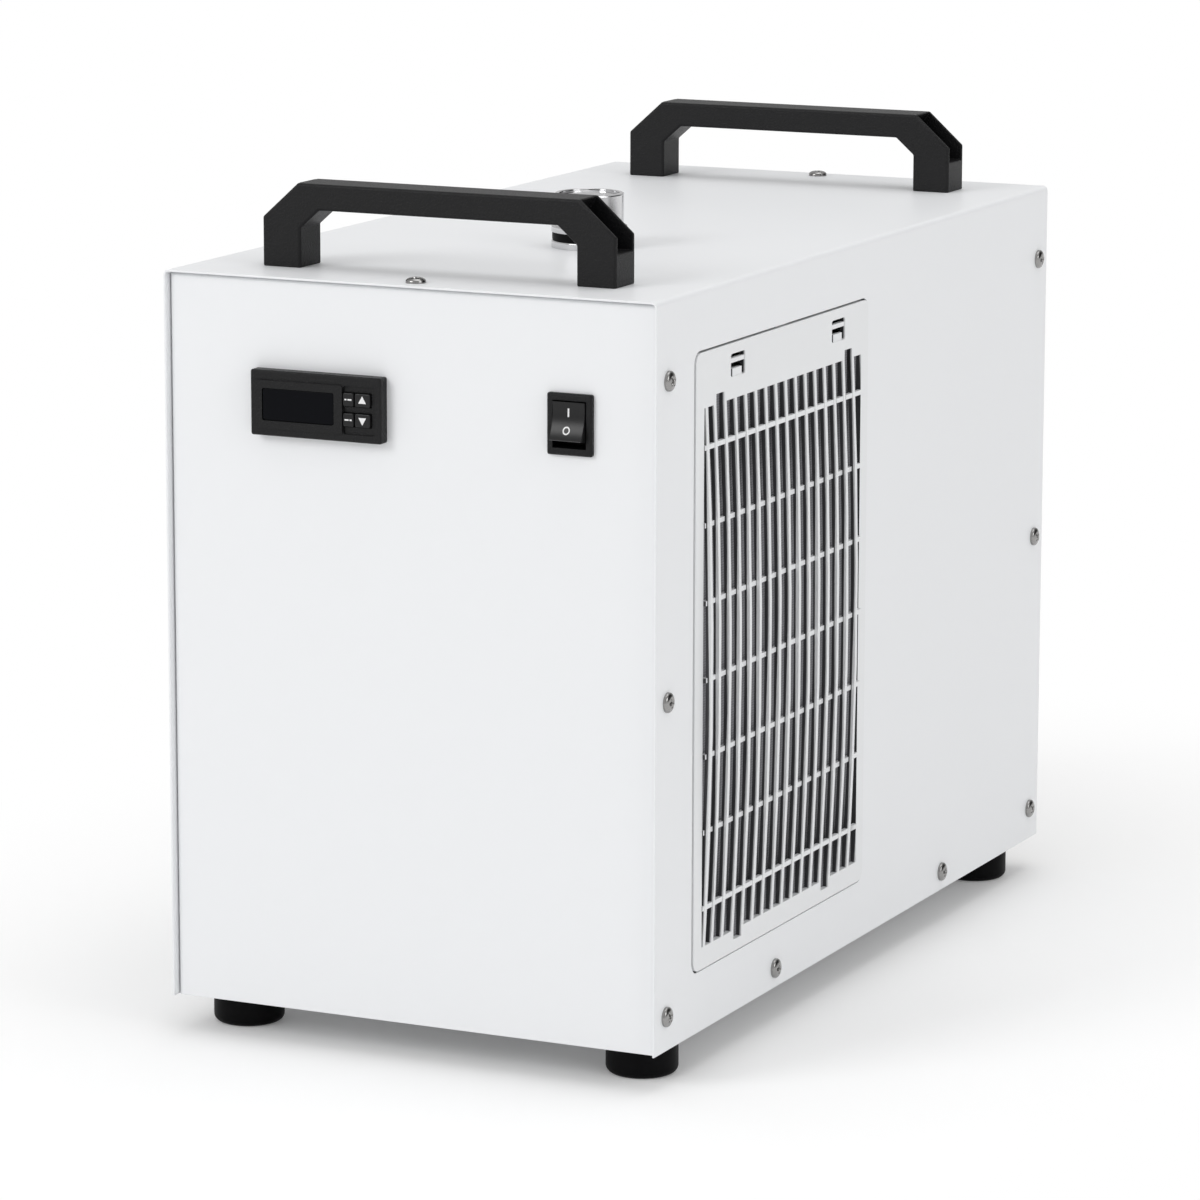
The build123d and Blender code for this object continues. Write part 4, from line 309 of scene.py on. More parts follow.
def lathe(profile, centre, steps, axis="Z", shell=None):
    """A profile of (radius, height) pairs turned round the Z or Y axis: the two ways across the axis are the
    radius times the cosine and the sine of the turn."""
    profile = np.asarray(profile, float)
    turn = np.linspace(0, tau, steps, endpoint=False)
    first = np.outer(profile[:, 0], np.cos(turn))
    second = np.outer(profile[:, 0], np.sin(turn))
    height = np.repeat(profile[:, 1][:, None], steps, 1)
    ways = [first, second, height] if axis == "Z" else [first, height, second]
    points = np.stack(ways, -1) + np.asarray(centre, float)
    return (shell or Shell()).grid(points, wrap_columns=True)


def arc(centre, radius, start, end, steps):
    """Points of (radius, height) on a circle's arc, from one angle in degrees to another."""
    angle = np.radians(np.linspace(start, end, steps + 1))
    return np.stack([centre[0] + radius * np.cos(angle), centre[1] + radius * np.sin(angle)], -1).tolist()


def rounded_outline(width, height, radius, steps=6):
    """A rounded rectangle about the origin: quarter circles on its four corners, run anticlockwise."""
    radius = max(radius, LEAST_CORNER)
    quarter = np.linspace(0, pi / 2, steps + 1)
    corners = []
    for number, (sx, sz) in enumerate(((1, 1), (-1, 1), (-1, -1), (1, -1))):
        angle = quarter + number * pi / 2
        across = sx * (width / 2 - radius) + radius * np.cos(angle)
        upright = sz * (height / 2 - radius) + radius * np.sin(angle)
        corners.append(np.stack([across, upright], -1))
    return np.concatenate(corners)


def facing_front(outline, forward):
    """An outline in X and Z set forward along -Y."""
    return np.stack([outline[:, 0], np.full(len(outline), -forward), outline[:, 1]], -1)


def cushion_block(size, radius, depth, edge, centre):
    """A rounded rectangle carried along -Y with a quarter-round front edge: each step in from the edge moves
    the outline inwards by the edge radius times one minus the cosine, and forwards by it times the sine."""
    turn = np.linspace(0, pi / 2, 6)
    rows = [(0.0, 0.0)] + [(edge * (1 - cos(t)), depth - edge + edge * sin(t)) for t in turn]
    width, height = size
    rings = []
    for inset, forward in rows:
        outline = rounded_outline(width - 2 * inset, height - 2 * inset, radius - inset)
        rings.append(facing_front(outline, forward))
    flat = (width - 2 * edge, height - 2 * edge, radius - edge)
    for share in FACE_SHARES:
        rings.append(facing_front(rounded_outline(*(length * share for length in flat)), depth))
    points = np.array(rings) + np.asarray(centre, float)
    return Shell().grid(points, wrap_columns=True, cap_first=True, cap_last=True)


def node_centre(part):
    """The middle of a CAD node's box, in millimetres."""
    low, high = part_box(part)
    return (np.array(low) + np.array(high)) / 2 / MM


# Shader node groups
def new_group(name, inputs, outputs):
    """An empty shader group with (name, type, default) inputs and (name, type) outputs."""
    group = bpy.data.node_groups.new(name, "ShaderNodeTree")
    for label, kind, default in inputs:
        socket = group.interface.new_socket(name=label, in_out="INPUT", socket_type=kind)
        socket.default_value = default
    for label, kind in outputs:
        group.interface.new_socket(name=label, in_out="OUTPUT", socket_type=kind)
    return group, group.nodes.new("NodeGroupInput"), group.nodes.new("NodeGroupOutput")


def fill(made, values):
    """Sets a node's inputs from (input, value) pairs."""
    for label, value in values:
        made.inputs[label].default_value = value
    return made


def node(tree, kind, links=(), values=(), **settings):
    """Adds a node, sets its properties, links (output, input) pairs into it and fills its other inputs."""
    made = tree.nodes.new(kind)
    for key, value in settings.items():
        setattr(made, key, value)
    for source, target in links:
        tree.links.new(source, made.inputs[target])
    return fill(made, values)


def maths(tree, operation, *terms):
    """One step of arithmetic; a term is a number or the output of another node."""
    made = tree.nodes.new("ShaderNodeMath")
    made.operation = operation
    for number, term in enumerate(terms):
        if isinstance(term, (int, float)):
            made.inputs[number].default_value = term
        else:
            tree.links.new(term, made.inputs[number])
    return made.outputs[0]


def vectors(tree, operation, links, values=()):
    """A vector arithmetic node, linked and filled as any other."""
    return node(tree, "ShaderNodeVectorMath", links, values, operation=operation)


def relief(tree, height, strength, distance):
    """Turns a height into a bumped normal."""
    values = [("Strength", strength), ("Distance", distance)]
    return node(tree, "ShaderNodeBump", [(height, "Height")], values).outputs[0]


def faded(tree, source, ends):
    """A smooth step of a value between two ends, out to 0 and 1 or to two more given ends."""
    values = zip(("From Min", "From Max", "To Min", "To Max"), ends)
    made = node(tree, "ShaderNodeMapRange", [(source, "Value")], values, interpolation_type="SMOOTHSTEP")
    return made.outputs[0]


def blend(tree, share, first, second):
    """Mixes two colours by a share; a colour is four numbers or the output of another node. A mix node takes
    colours at its inputs 6 and 7 and puts the mixed one out at 2."""
    made = node(tree, "ShaderNodeMix", [(share, 0)], data_type="RGBA")
    for number, colour in ((6, first), (7, second)):
        if isinstance(colour, tuple):
            made.inputs[number].default_value = colour
        else:
            tree.links.new(colour, made.inputs[number])
    return made.outputs[2]


def fine_grain_group():
    """A fine noise as a height, and a slow noise that shifts colour and roughness."""
    group, given, out = new_group(
        "fine grain",
        [
            ("Color", "NodeSocketColor", (0.8, 0.8, 0.8, 1)), ("Scale", "NodeSocketFloat", 900.0),
            ("Roughness", "NodeSocketFloat", 0.5), ("Spread", "NodeSocketFloat", 0.06),
            ("Tint", "NodeSocketFloat", 0.04),
        ],
        [("Color", "NodeSocketColor"), ("Roughness", "NodeSocketFloat"), ("Height", "NodeSocketFloat")],
    )
    where = node(group, "ShaderNodeTexCoord").outputs["Object"]
    fine = node(
        group, "ShaderNodeTexNoise", [(where, "Vector"), (given.outputs["Scale"], "Scale")], [("Detail", 3)]
    )
    slow = node(group, "ShaderNodeTexNoise", [(where, "Vector")], [("Scale", 14), ("Detail", 4)])
    centred = maths(group, "SUBTRACT", slow.outputs["Fac"], 0.5)
    spread = maths(group, "MULTIPLY", centred, given.outputs["Spread"])
    rough = maths(group, "ADD", spread, given.outputs["Roughness"])
    shade = maths(group, "MULTIPLY", slow.outputs["Fac"], given.outputs["Tint"])
    darker = blend(group, shade, given.outputs["Color"], (0.0, 0.0, 0.0, 1))
    group.links.new(darker, out.inputs["Color"])
    group.links.new(rough, out.inputs["Roughness"])
    group.links.new(fine.outputs["Fac"], out.inputs["Height"])
    return group


def cloth_group():
    """Crossed waves as a woven mesh: the larger of two wave bands is the height, and mixes gap and thread."""
    group, given, out = new_group(
        "open cloth",
        [
            ("Thread", "NodeSocketColor", (0.1, 0.1, 0.1, 1)),
            ("Gap", "NodeSocketColor", (0.01, 0.01, 0.01, 1)),
            ("Scale", "NodeSocketFloat", 300.0),
        ],
        [("Color", "NodeSocketColor"), ("Height", "NodeSocketFloat")],
    )
    where = node(group, "ShaderNodeTexCoord").outputs["Object"]
    links = [(where, "Vector"), (given.outputs["Scale"], "Scale")]
    across, upright = (node(group, "ShaderNodeTexWave", links, bands_direction=way) for way in ("Y", "Z"))
    high = maths(group, "MAXIMUM", across.outputs["Fac"], upright.outputs["Fac"])
    group.links.new(blend(group, high, given.outputs["Gap"], given.outputs["Thread"]), out.inputs["Color"])
    group.links.new(high, out.inputs["Height"])
    return group


def turned_group():
    """Fine rings about a centre line, as left by a lathe: a sine of the distance from that line."""
    group, given, out = new_group(
        "turned rings", [("Centre", "NodeSocketVector", (0, 0, 0)), ("Scale", "NodeSocketFloat", 6000.0)],
        [("Height", "NodeSocketFloat"), ("Roughness", "NodeSocketFloat")],
    )
    where = node(group, "ShaderNodeTexCoord").outputs["Object"]
    moved = vectors(group, "SUBTRACT", [(where, 0), (given.outputs["Centre"], 1)])
    flat = vectors(group, "MULTIPLY", [(moved.outputs[0], 0)], [(1, (1, 1, 0))])
    far = vectors(group, "LENGTH", [(flat.outputs[0], 0)]).outputs["Value"]
    rings = maths(group, "SINE", maths(group, "MULTIPLY", far, given.outputs["Scale"]))
    rough = node(
        group, "ShaderNodeMapRange", [(rings, "Value")],
        [("From Min", -1), ("From Max", 1), ("To Min", 0.08), ("To Max", 0.16)],
    )
    group.links.new(rings, out.inputs["Height"])
    group.links.new(rough.outputs[0], out.inputs["Roughness"])
    return group


GROUPS = {}


def new_material(name):
    """A material with nodes, its tree and its shader."""
    material = bpy.data.materials.new(name)
    material.use_nodes = True
    return material, material.node_tree, material.node_tree.nodes["Principled BSDF"]


def grained(name, color, roughness, scale, bump, depth=0.00002, tint=0.04, **fixed):
    """A finish with grain: the grain group gives colour, roughness and bump, the shader holds the rest."""
    material, tree, shader = new_material(name)
    values = [("Color", (*color, 1)), ("Scale", scale), ("Roughness", roughness), ("Tint", tint)]
    grain = node(tree, "ShaderNodeGroup", node_tree=GROUPS["grain"])
    fill(grain, values)
    tree.links.new(grain.outputs["Color"], shader.inputs["Base Color"])
    tree.links.new(grain.outputs["Roughness"], shader.inputs["Roughness"])
    tree.links.new(relief(tree, grain.outputs["Height"], bump, depth), shader.inputs["Normal"])
    fill(shader, [(label.replace("_", " "), value) for label, value in fixed.items()])
    return material


def turned_chrome(name, centre):
    """Bright plating over fine lathe rings."""
    material = grained(name, (0.66, 0.66, 0.67), 0.1, 400, 0.02, Metallic=1.0)
    tree = material.node_tree
    rings = node(tree, "ShaderNodeGroup", node_tree=GROUPS["turned"])
    rings.inputs["Centre"].default_value = centre
    tree.links.new(rings.outputs["Roughness"], tree.nodes["Principled BSDF"].inputs["Roughness"])
    tree.links.new(rings.outputs["Height"], tree.nodes["Bump"].inputs["Height"])
    return material


def filter_cloth(name):
    """Dark open cloth with a woven relief."""
    material, tree, shader = new_material(name)
    cloth = node(tree, "ShaderNodeGroup", node_tree=GROUPS["cloth"])
    fill(cloth, [("Thread", (0.24, 0.24, 0.255, 1)), ("Gap", (0.10, 0.10, 0.11, 1)), ("Scale", 220)])
    tree.links.new(cloth.outputs["Color"], shader.inputs["Base Color"])
    tree.links.new(relief(tree, cloth.outputs["Height"], 0.6, 0.0003), shader.inputs["Normal"])
    shader.inputs["Roughness"].default_value = 0.8
    return material


def paint_flank_shade(material):
    """Mixes near black into the white moulding by how deep the surface lies between the blades: painted shade
    where the blades shade each other's flanks.
    """
    tree = material.node_tree
    shader = tree.nodes["Principled BSDF"]
    plain = shader.inputs["Base Color"].links[0].from_socket
    deep = node(tree, "ShaderNodeAttribute", attribute_name="inset")
    share = faded(tree, deep.outputs["Fac"], FLANK_SHADE_DEPTHS)
    tree.links.new(blend(tree, share, plain, FLANK_SHADE_COLOR), shader.inputs["Base Color"])
    return material


def finishes(look):
    """Builds the shared groups and every material: one for each slot, the printed marks and the painted shade in
    the screw recesses.
    """
    GROUPS["grain"] = fine_grain_group()
    GROUPS["cloth"] = cloth_group()
    GROUPS["turned"] = turned_group()
    filler = node_centre("filler_cap") * MM
    return {
        "white_paint": grained("white powder coat", tuple(look.paint), 0.40, 1500, 0.10, tint=0.0),
        "galvanised_steel": grained(
            "galvanised sheet", (0.60, 0.61, 0.62), 0.38, 260, 0.05, tint=0.25, Metallic=0.9
        ),
        "black_plastic": grained(
            "spark-textured black", tuple(look.black), 0.40, 1100, 1.0, 0.00040, Specular_IOR_Level=0.24
        ),
        "black_gloss": grained(
            "smooth black", (0.007, 0.007, 0.008), 0.2, 2600, 0.1, Specular_IOR_Level=0.3
        ),
        "display_window": grained(
            "smoked window", (0.002, 0.0023, 0.0038), 0.08, 500, 0.0, Specular_IOR_Level=0.07
        ),
        "key_plastic": grained(
            "key plastic", (0.009, 0.009, 0.0095), 0.3, 2400, 0.2, Specular_IOR_Level=0.3
        ),
        # the white moulding gets painted shade on the blades' flanks, darker the deeper they lie
        "white_plastic": paint_flank_shade(
            grained("white moulding", tuple(look.grille), 0.42, 1800, 0.08, tint=0.02)
        ),
        "filter_cloth": filter_cloth("dark filter cloth"),
        "black_rubber": grained(
            "black rubber", (0.0022, 0.0022, 0.0026), 0.5, 1400, 0.3, Specular_IOR_Level=0.08
        ),
        "chrome_trim": turned_chrome("turned chrome", tuple(filler)),
        "screw_steel": grained("zinc-plated steel", (0.34, 0.335, 0.33), 0.24, 900, 0.1, Metallic=1.0),
        "brass_fitting": grained("turned brass", (0.72, 0.52, 0.24), 0.25, 900, 0.1, Metallic=1.0),
        "copper_pipe": grained("copper tube", (0.72, 0.36, 0.22), 0.3, 300, 0.1, tint=0.2, Metallic=1.0),
        "condenser_metal": grained("bare fins", (0.55, 0.56, 0.57), 0.4, 700, 0.3, tint=0.2, Metallic=0.9),
        "black_enamel": grained("black enamel", (0.012, 0.012, 0.013), 0.3, 900, 0.15),
        "fan_plastic": grained("fan moulding", (0.02, 0.02, 0.021), 0.45, 1500, 0.2),
        "tank_plastic": grained("natural moulding", (0.78, 0.80, 0.78), 0.4, 500, 0.1),
        "grey_plastic": grained("grey moulding", (0.16, 0.165, 0.17), 0.5, 1800, 0.2),
        "sight_glass": grained(
            "sight tube", (0.9, 0.95, 0.97), 0.05, 200, 0.0, Transmission_Weight=0.9, IOR=1.45
        ),
        "mark_white": grained("printed white", (0.82, 0.82, 0.82), 0.5, 1500, 0.02, tint=0.0),
        # painted shade: near black for the crosses in the screw recesses, where the plated steel lies in shade
        "recess_shade": grained("painted recess shade", (0.02, 0.02, 0.02), 0.6, 900, 0.1),
    }


LOOKS = {}


# Properties
class CHILLER_PG_look(bpy.types.PropertyGroup):
    """Sizes and colours that a user would change."""

    paint: FloatVectorProperty(
        name="Casing paint", description="Colour of the powder coat", subtype="COLOR", size=3, min=0, max=1,
        default=(0.86, 0.87, 0.885),
    )
    grille: FloatVectorProperty(
        name="Grille colour", description="Colour of the side grilles", subtype="COLOR", size=3, min=0, max=1,
        default=(0.84, 0.85, 0.86),
    )
    black: FloatVectorProperty(
        name="Black plastic", description="Colour of the handles and bezels", subtype="COLOR", size=3, min=0,
        max=1, default=(0.0058, 0.0058, 0.0064),
    )
    sheet_edge: FloatProperty(
        name="Sheet edge", description="Rounding of the sheet metal's cut edges, mm", default=0.3, min=0.05,
        max=0.5,
    )
    moulded_edge: FloatProperty(
        name="Moulded edge", description="Rounding of moulded edges, mm", default=0.6, min=0.05, max=0.8
    )
    turns: IntProperty(name="Turned steps", description="Sides of turned pieces", default=96, min=24, max=256)
    camera_lens: FloatProperty(
        name="Lens", description="Focal length of the studio camera, mm", default=165.13, min=20, max=400
    )


# Pieces
class CHILLER_OT_finishes(bpy.types.Operator):
    """Makes every finish and puts it on the CAD nodes"""

    bl_idname = "chiller.finishes"
    bl_label = "Finishes"

    def execute(self, context):
        LOOKS.update(finishes(context.scene.chiller_look))
        for name, obj in NODES.items():
            obj.data.materials.clear()
            obj.data.materials.append(LOOKS[SLOTS[name]])
        return {"FINISHED"}


class CHILLER_OT_casing(bpy.types.Operator):
    """Folded sheets of the casing, with softened cut edges"""

    bl_idname = "chiller.casing"
    bl_label = "Casing"

    def execute(self, context):
        edge = context.scene.chiller_look.sheet_edge
        for name in ("cover", "front_panel", "rear_panel"):
            sheet = dressed(f"{name}_sheet", name, edge)
            place(sheet, "casing", "white_paint", LOOKS["white_paint"], name)
        return {"FINISHED"}


class CHILLER_OT_grilles(bpy.types.Operator):
    """Snap-in side grilles, with painted shade darkening the flanks of their blades"""

    bl_idname = "chiller.grilles"
    bl_label = "Grilles"

    def execute(self, context):
        for side in ("right", "left"):
            moulding = dressed(f"grille_{side}_moulding", f"grille_{side}", 0)
            self.write_painted_shade_depth(moulding.data)
            place(moulding, f"grille_{side}", "white_plastic", LOOKS["white_plastic"], f"grille_{side}")
        return {"FINISHED"}

    def write_painted_shade_depth(self, mesh):
        """Writes how deep each corner of a blade's flank lies behind the bowed front, which sets how dark the
        painted shade on the flank is. The front at a height is the face plus the crown times one less the square
        of the height's share of half the window."""
        loops = len(mesh.loops)
        points = np.empty(len(mesh.vertices) * 3)
        mesh.vertices.foreach_get("co", points)
        corner = np.empty(loops, int)
        mesh.loops.foreach_get("vertex_index", corner)
        x, y, z = (points.reshape(-1, 3)[corner] / MM).T
        sizes = np.empty(len(mesh.polygons), int)
        mesh.polygons.foreach_get("loop_total", sizes)
        normal = np.empty(len(mesh.polygons) * 3)
        mesh.polygons.foreach_get("normal", normal)
        flank = np.repeat(np.abs(normal.reshape(-1, 3)[:, 1]) > FLANK_TURN, sizes)
        share = np.clip((z - WINDOW_Z) / WINDOW_HALF_H, -1, 1)
        front = GRILLE_FACE + BLADE_CROWN * (1 - share**2)
        inside = np.abs(y - (Y_MID + WINDOW_Y)) < WINDOW_HALF_W
        deep = np.where(flank & inside, np.clip(front - np.abs(x), 0, None), 0)
        # the depth is stored to set the painted shade on the flanks
        inset = mesh.attributes.new("inset", "FLOAT", "CORNER")
        inset.data.foreach_set("value", deep.astype(np.float32))


class CHILLER_OT_handles(bpy.types.Operator):
    """Moulded bridge handles"""

    bl_idname = "chiller.handles"
    bl_label = "Handles"

    def execute(self, context):
        edge = context.scene.chiller_look.moulded_edge
        for name in ("handle_front", "handle_rear"):
            moulding = dressed(f"{name}_moulding", name, edge)
            place(moulding, "casing", "black_plastic", LOOKS["black_plastic"], name)
        return {"FINISHED"}


class CHILLER_OT_filler(bpy.types.Operator):
    """Turned filler cap and the dark seal under it; the neck is with the pieces inside"""

    bl_idname = "chiller.filler"
    bl_label = "Filler"

    def execute(self, context):
        steps = context.scene.chiller_look.turns
        x, y, _ = node_centre("filler_cap")
        cap = lathe(self.cap_profile(), (x, y, 0), steps).object("filler_cap_turned")
        place(cap, "filler_cap", "chrome_trim", LOOKS["chrome_trim"], "filler_cap")
        seal = lathe(self.seal_profile(), (x, y, 0), steps).object("filler_seal_ring")
        place(seal, "filler_lift", "black_rubber", LOOKS["black_rubber"], "filler_seal")
        return {"FINISHED"}

    def cap_profile(self):
        """Skirt, neck, rounded rim and shallow dish of the cap, closed through its hollow underside."""
        low, high = (corner.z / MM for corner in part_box("filler_cap"))
        profile = (
            [(CAP_BORE_R, low), (CAP_SKIRT_R - SKIRT_LOW_ROUND, low)]
            + self.rounded(CAP_SKIRT_R, low, SKIRT_LOW_ROUND, -90, 0)
            + self.rounded(CAP_SKIRT_R, low + CAP_SKIRT_T, SKIRT_HIGH_ROUND, 0, 90)
            + self.rounded(CAP_BODY_R, low + CAP_SKIRT_T, NECK_ROUND, 270, 180)
            + self.rounded(CAP_BODY_R, high, RIM_ROUND, 0, 90, 6)
            + self.rounded(CAP_DISH_R, high, LIP_ROUND, 90, 180)
            + self.rounded(CAP_DISH_R, high - CAP_DISH_DEEP, DISH_ROUND, 0, -90)
            + [(CAP_POLE_R, high - CAP_DISH_DEEP), (CAP_POLE_R, high - CAP_TOP_T)]
            + [(CAP_BORE_R, high - CAP_TOP_T)]
        )
        return profile + [profile[0]]

    def rounded(self, radius, height, size, start, end, steps=4):
        """The arc that rounds a corner of the profile. Its middle is set back from the corner, each way by
        the size times the sign of the cosine or sine of the arc's mean angle."""
        mean = radians((start + end) / 2)
        middle = (radius - size * np.sign(cos(mean)), height - size * np.sign(sin(mean)))
        return arc(middle, size, start, end, steps)

    def seal_profile(self):
        """A flat ring with a rounded outer edge."""
        low, high = (corner.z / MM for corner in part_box("filler_seal"))
        high -= SEAL_BELOW
        middle = SEAL_R - SEAL_ROUND
        return (
            [(CAP_BORE_R, low), (middle, low)]
            + arc((middle, low + SEAL_ROUND), SEAL_ROUND, -90, 0, 5)
            + arc((middle, high - SEAL_ROUND), SEAL_ROUND, 0, 90, 5)
            + [(CAP_BORE_R, high), (CAP_BORE_R, low)]
        )


class CHILLER_OT_controller(bpy.types.Operator):
    """Controller bezel, smoked window, keys and their marks"""

    bl_idname = "chiller.controller"
    bl_label = "Controller"

    def execute(self, context):
        bezel = dressed("controller_bezel", "controller_housing", 0.2, clamp=True)
        place(bezel, "casing", "black_plastic", LOOKS["black_plastic"], "controller_housing")
        window = self.block("controller_window", WINDOW_CORNER, WINDOW_EDGE, "controller_window_pane")
        place(window, "casing", "display_window", LOOKS["display_window"], "controller_window")
        for name in KEY_MARKS:
            cap = self.block(name, KEY_CORNER, KEY_EDGE, f"{name}_cap")
            place(cap, name, "key_plastic", LOOKS["key_plastic"], name)
            self.mark(name)
        return {"FINISHED"}

    def block(self, part, corner, edge, name):
        """A cushion block that fills a CAD node's box."""
        low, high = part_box(part)
        middle = node_centre(part)
        middle[1] = high.y / MM
        size = ((high.x - low.x) / MM, (high.z - low.z) / MM)
        return cushion_block(size, corner, (high.y - low.y) / MM, edge, middle).object(name)

    def mark(self, name):
        """A thin raised print on a key: flat outlines in X and Z, from under its face to just above it."""
        x, _, z = node_centre(name)
        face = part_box(name)[0].y / MM
        shell = Shell()
        for shape in KEY_MARKS[name]:
            outline = np.array(shape, float) + (x, z)
            rows = [facing_front(outline, up - face) for up in (-PRINT_SUNK, PRINT_T)]
            shell.grid(np.array(rows), wrap_columns=True, cap_first=True, cap_last=True)
        place(shell.object(f"{name}_mark"), name, "key_plastic", LOOKS["mark_white"])


class CHILLER_OT_switch(bpy.types.Operator):
    """Rocker switch: housing, hollow-faced rocker and its two marks"""

    bl_idname = "chiller.switch"
    bl_label = "Switch"

    def execute(self, context):
        bezel = dressed("switch_bezel", "switch_housing", 0.3)
        place(bezel, "casing", "black_plastic", LOOKS["black_plastic"], "switch_housing")
        rocker = dressed("rocker_moulding", "rocker", 0.3, smooth=30)
        place(rocker, "rocker", "black_gloss", LOOKS["key_plastic"], "rocker")
        self.marks()
        return {"FINISHED"}

    def on_face(self, points, up):
        """Points (x, z) of the level rocker put on its hollow arc, then tilted about the pivot."""
        pivot = np.array([j for j in frame["joints"] if j["name"] == "rocker_tilt"][0]["pos_m"]) / MM
        radius = (ROCKER_HALF**2 + ROCKER_DISH**2) / (2 * ROCKER_DISH)
        x, z = points[..., 0], points[..., 1]
        y = ROCKER_DISH - (radius - np.sqrt(radius**2 - z**2)) - ROCKER_LIP - up
        lean, rise = cos(ROCKER_TILT), sin(ROCKER_TILT)
        return np.stack([x + pivot[0], pivot[1] + y * lean - z * rise, pivot[2] + y * rise + z * lean], -1)

    def marks(self):
        """The bar and the ring printed on the rocker, each a thin closed band laid on its hollow face."""
        turn = np.linspace(0, tau, RING_STEPS, endpoint=False)
        circle = np.stack([np.cos(turn), RING_TALL * np.sin(turn)], -1)
        edges = ((RING_OUT, -MARK_SUNK), (RING_OUT, PRINT_T), (RING_IN, PRINT_T), (RING_IN, -MARK_SUNK))
        ring = [self.on_face(circle * radius + np.array(RING_PLACE), up) for radius, up in edges]
        shell = Shell().grid(np.array(ring), wrap_rows=True, wrap_columns=True)
        half = BAR_HALF_W
        corners = [(-half, BAR_LOW), (half, BAR_LOW), (half, BAR_HIGH), (-half, BAR_HIGH)]
        bar = [self.on_face(np.array(corners), up) for up in (-MARK_SUNK, PRINT_T)]
        shell.grid(np.array(bar), wrap_columns=True, cap_first=True, cap_last=True)
        place(shell.object("rocker_marks"), "rocker", "black_gloss", LOOKS["mark_white"])


def outward(local, axis, sign):
    """Turns points whose height runs along Z so that it runs out of a side of the casing, or leaves them."""
    if axis == "X":
        return np.stack([sign * local[..., 2], local[..., 0], local[..., 1]], -1)
    return local


def screw_head(centre, axis, shell, sign, turn):
    """A pan head: a flat dome turned round its axis, with a cross recess sunk where either arm's band crosses
    the middle. The height is the dome's less the recess depth, which fades out along each arm."""
    angle = np.linspace(0, tau, HEAD_STEPS, endpoint=False)
    radius = np.outer(HEAD_RIM * np.linspace(0, 1, HEAD_RINGS), np.ones(HEAD_STEPS))
    bow = np.sqrt(np.clip(1 - (radius / (HEAD_RIM + HEAD_OVER)) ** HEAD_POWER, 0, 1))
    dome = HEAD_SIDE + (HEAD_HIGH - HEAD_SIDE) * bow
    u, v = radius * np.cos(angle + turn), radius * np.sin(angle + turn)
    depth = np.zeros_like(u)
    for a, b in ((u, v), (v, u)):
        across = np.clip(RECESS_CUT - np.abs(a) / RECESS_ARM * RECESS_SLOPE, 0, 1)
        along = np.clip((RECESS_REACH - np.abs(b)) / RECESS_FADE, 0, 1)
        depth = np.maximum(depth, across * along)
    top = np.stack([radius * np.cos(angle), radius * np.sin(angle), dome - RECESS_DEEP * depth], -1)
    foot = np.stack([np.cos(angle) * HEAD_RIM, np.sin(angle) * HEAD_RIM, np.zeros(HEAD_STEPS)], -1)
    local = np.concatenate([top, foot[None]])
    shell.grid(outward(local, axis, sign) + np.asarray(centre, float), wrap_columns=True, cap_last=True)


def recess_shade_cross(centre, axis, shell, sign, turn):
    """A thin cross that lies in a screw's recess and carries its painted shade: twelve corners of two crossed
    arms, turned with it.
    """
    arm, tip = RECESS_ARM, CROSS_TIP
    corners = [(tip, -arm), (tip, arm), (arm, arm), (arm, tip), (-arm, tip), (-arm, arm)]
    outline = np.array(corners + [(-a, -b) for a, b in corners])
    spin = np.array([[cos(turn), -sin(turn)], [sin(turn), cos(turn)]])
    flat = outline @ spin
    local = np.stack([np.column_stack([flat, np.full(len(flat), up)]) for up in (CROSS_LOW, CROSS_HIGH)])
    points = outward(local, axis, sign) + np.asarray(centre, float)
    shell.grid(points, wrap_columns=True, cap_first=True, cap_last=True)


class CHILLER_OT_screws(bpy.types.Operator):
    """Pan-head screws round the cover, with painted shade in their recesses"""

    bl_idname = "chiller.screws"
    bl_label = "Screws"

    def execute(self, context):
        heads, shade_crosses = Shell(), Shell()
        turns = np.random.default_rng(SCREW_SEED)
        column, top_row = CASE_D / 2 - SCREW_COLUMN, CASE_D / 2 - TOP_SCREW_IN
        side = [(y, z) for y in (-column, column) for z in SCREW_HEIGHTS]
        side += [(y, BASE_ROW_Z) for y in (-BASE_ROW_Y, BASE_ROW_Y)]
        sites = []
        for sign in (-1, 1):
            sites += [((sign * CASE_HALF_W, Y_MID + y, Z_BASE + z), "X", sign) for y, z in side]
        sites += [((0, Y_MID + y, Z_TOP), "Z", 1) for y in (-top_row, top_row)]
        for centre, axis, sign in sites:
            turn = turns.uniform(0, pi)
            screw_head(centre, axis, heads, sign, turn)
            recess_shade_cross(centre, axis, shade_crosses, sign, turn)
        screws = heads.object("cover_screw_heads", smooth=50)
        place(screws, "casing", "screw_steel", LOOKS["screw_steel"], "cover_screws")
        # the crosses carry the painted shade of the recesses
        place(shade_crosses.object("cover_screw_shade_crosses"), "casing", "screw_steel", LOOKS["recess_shade"])
        return {"FINISHED"}


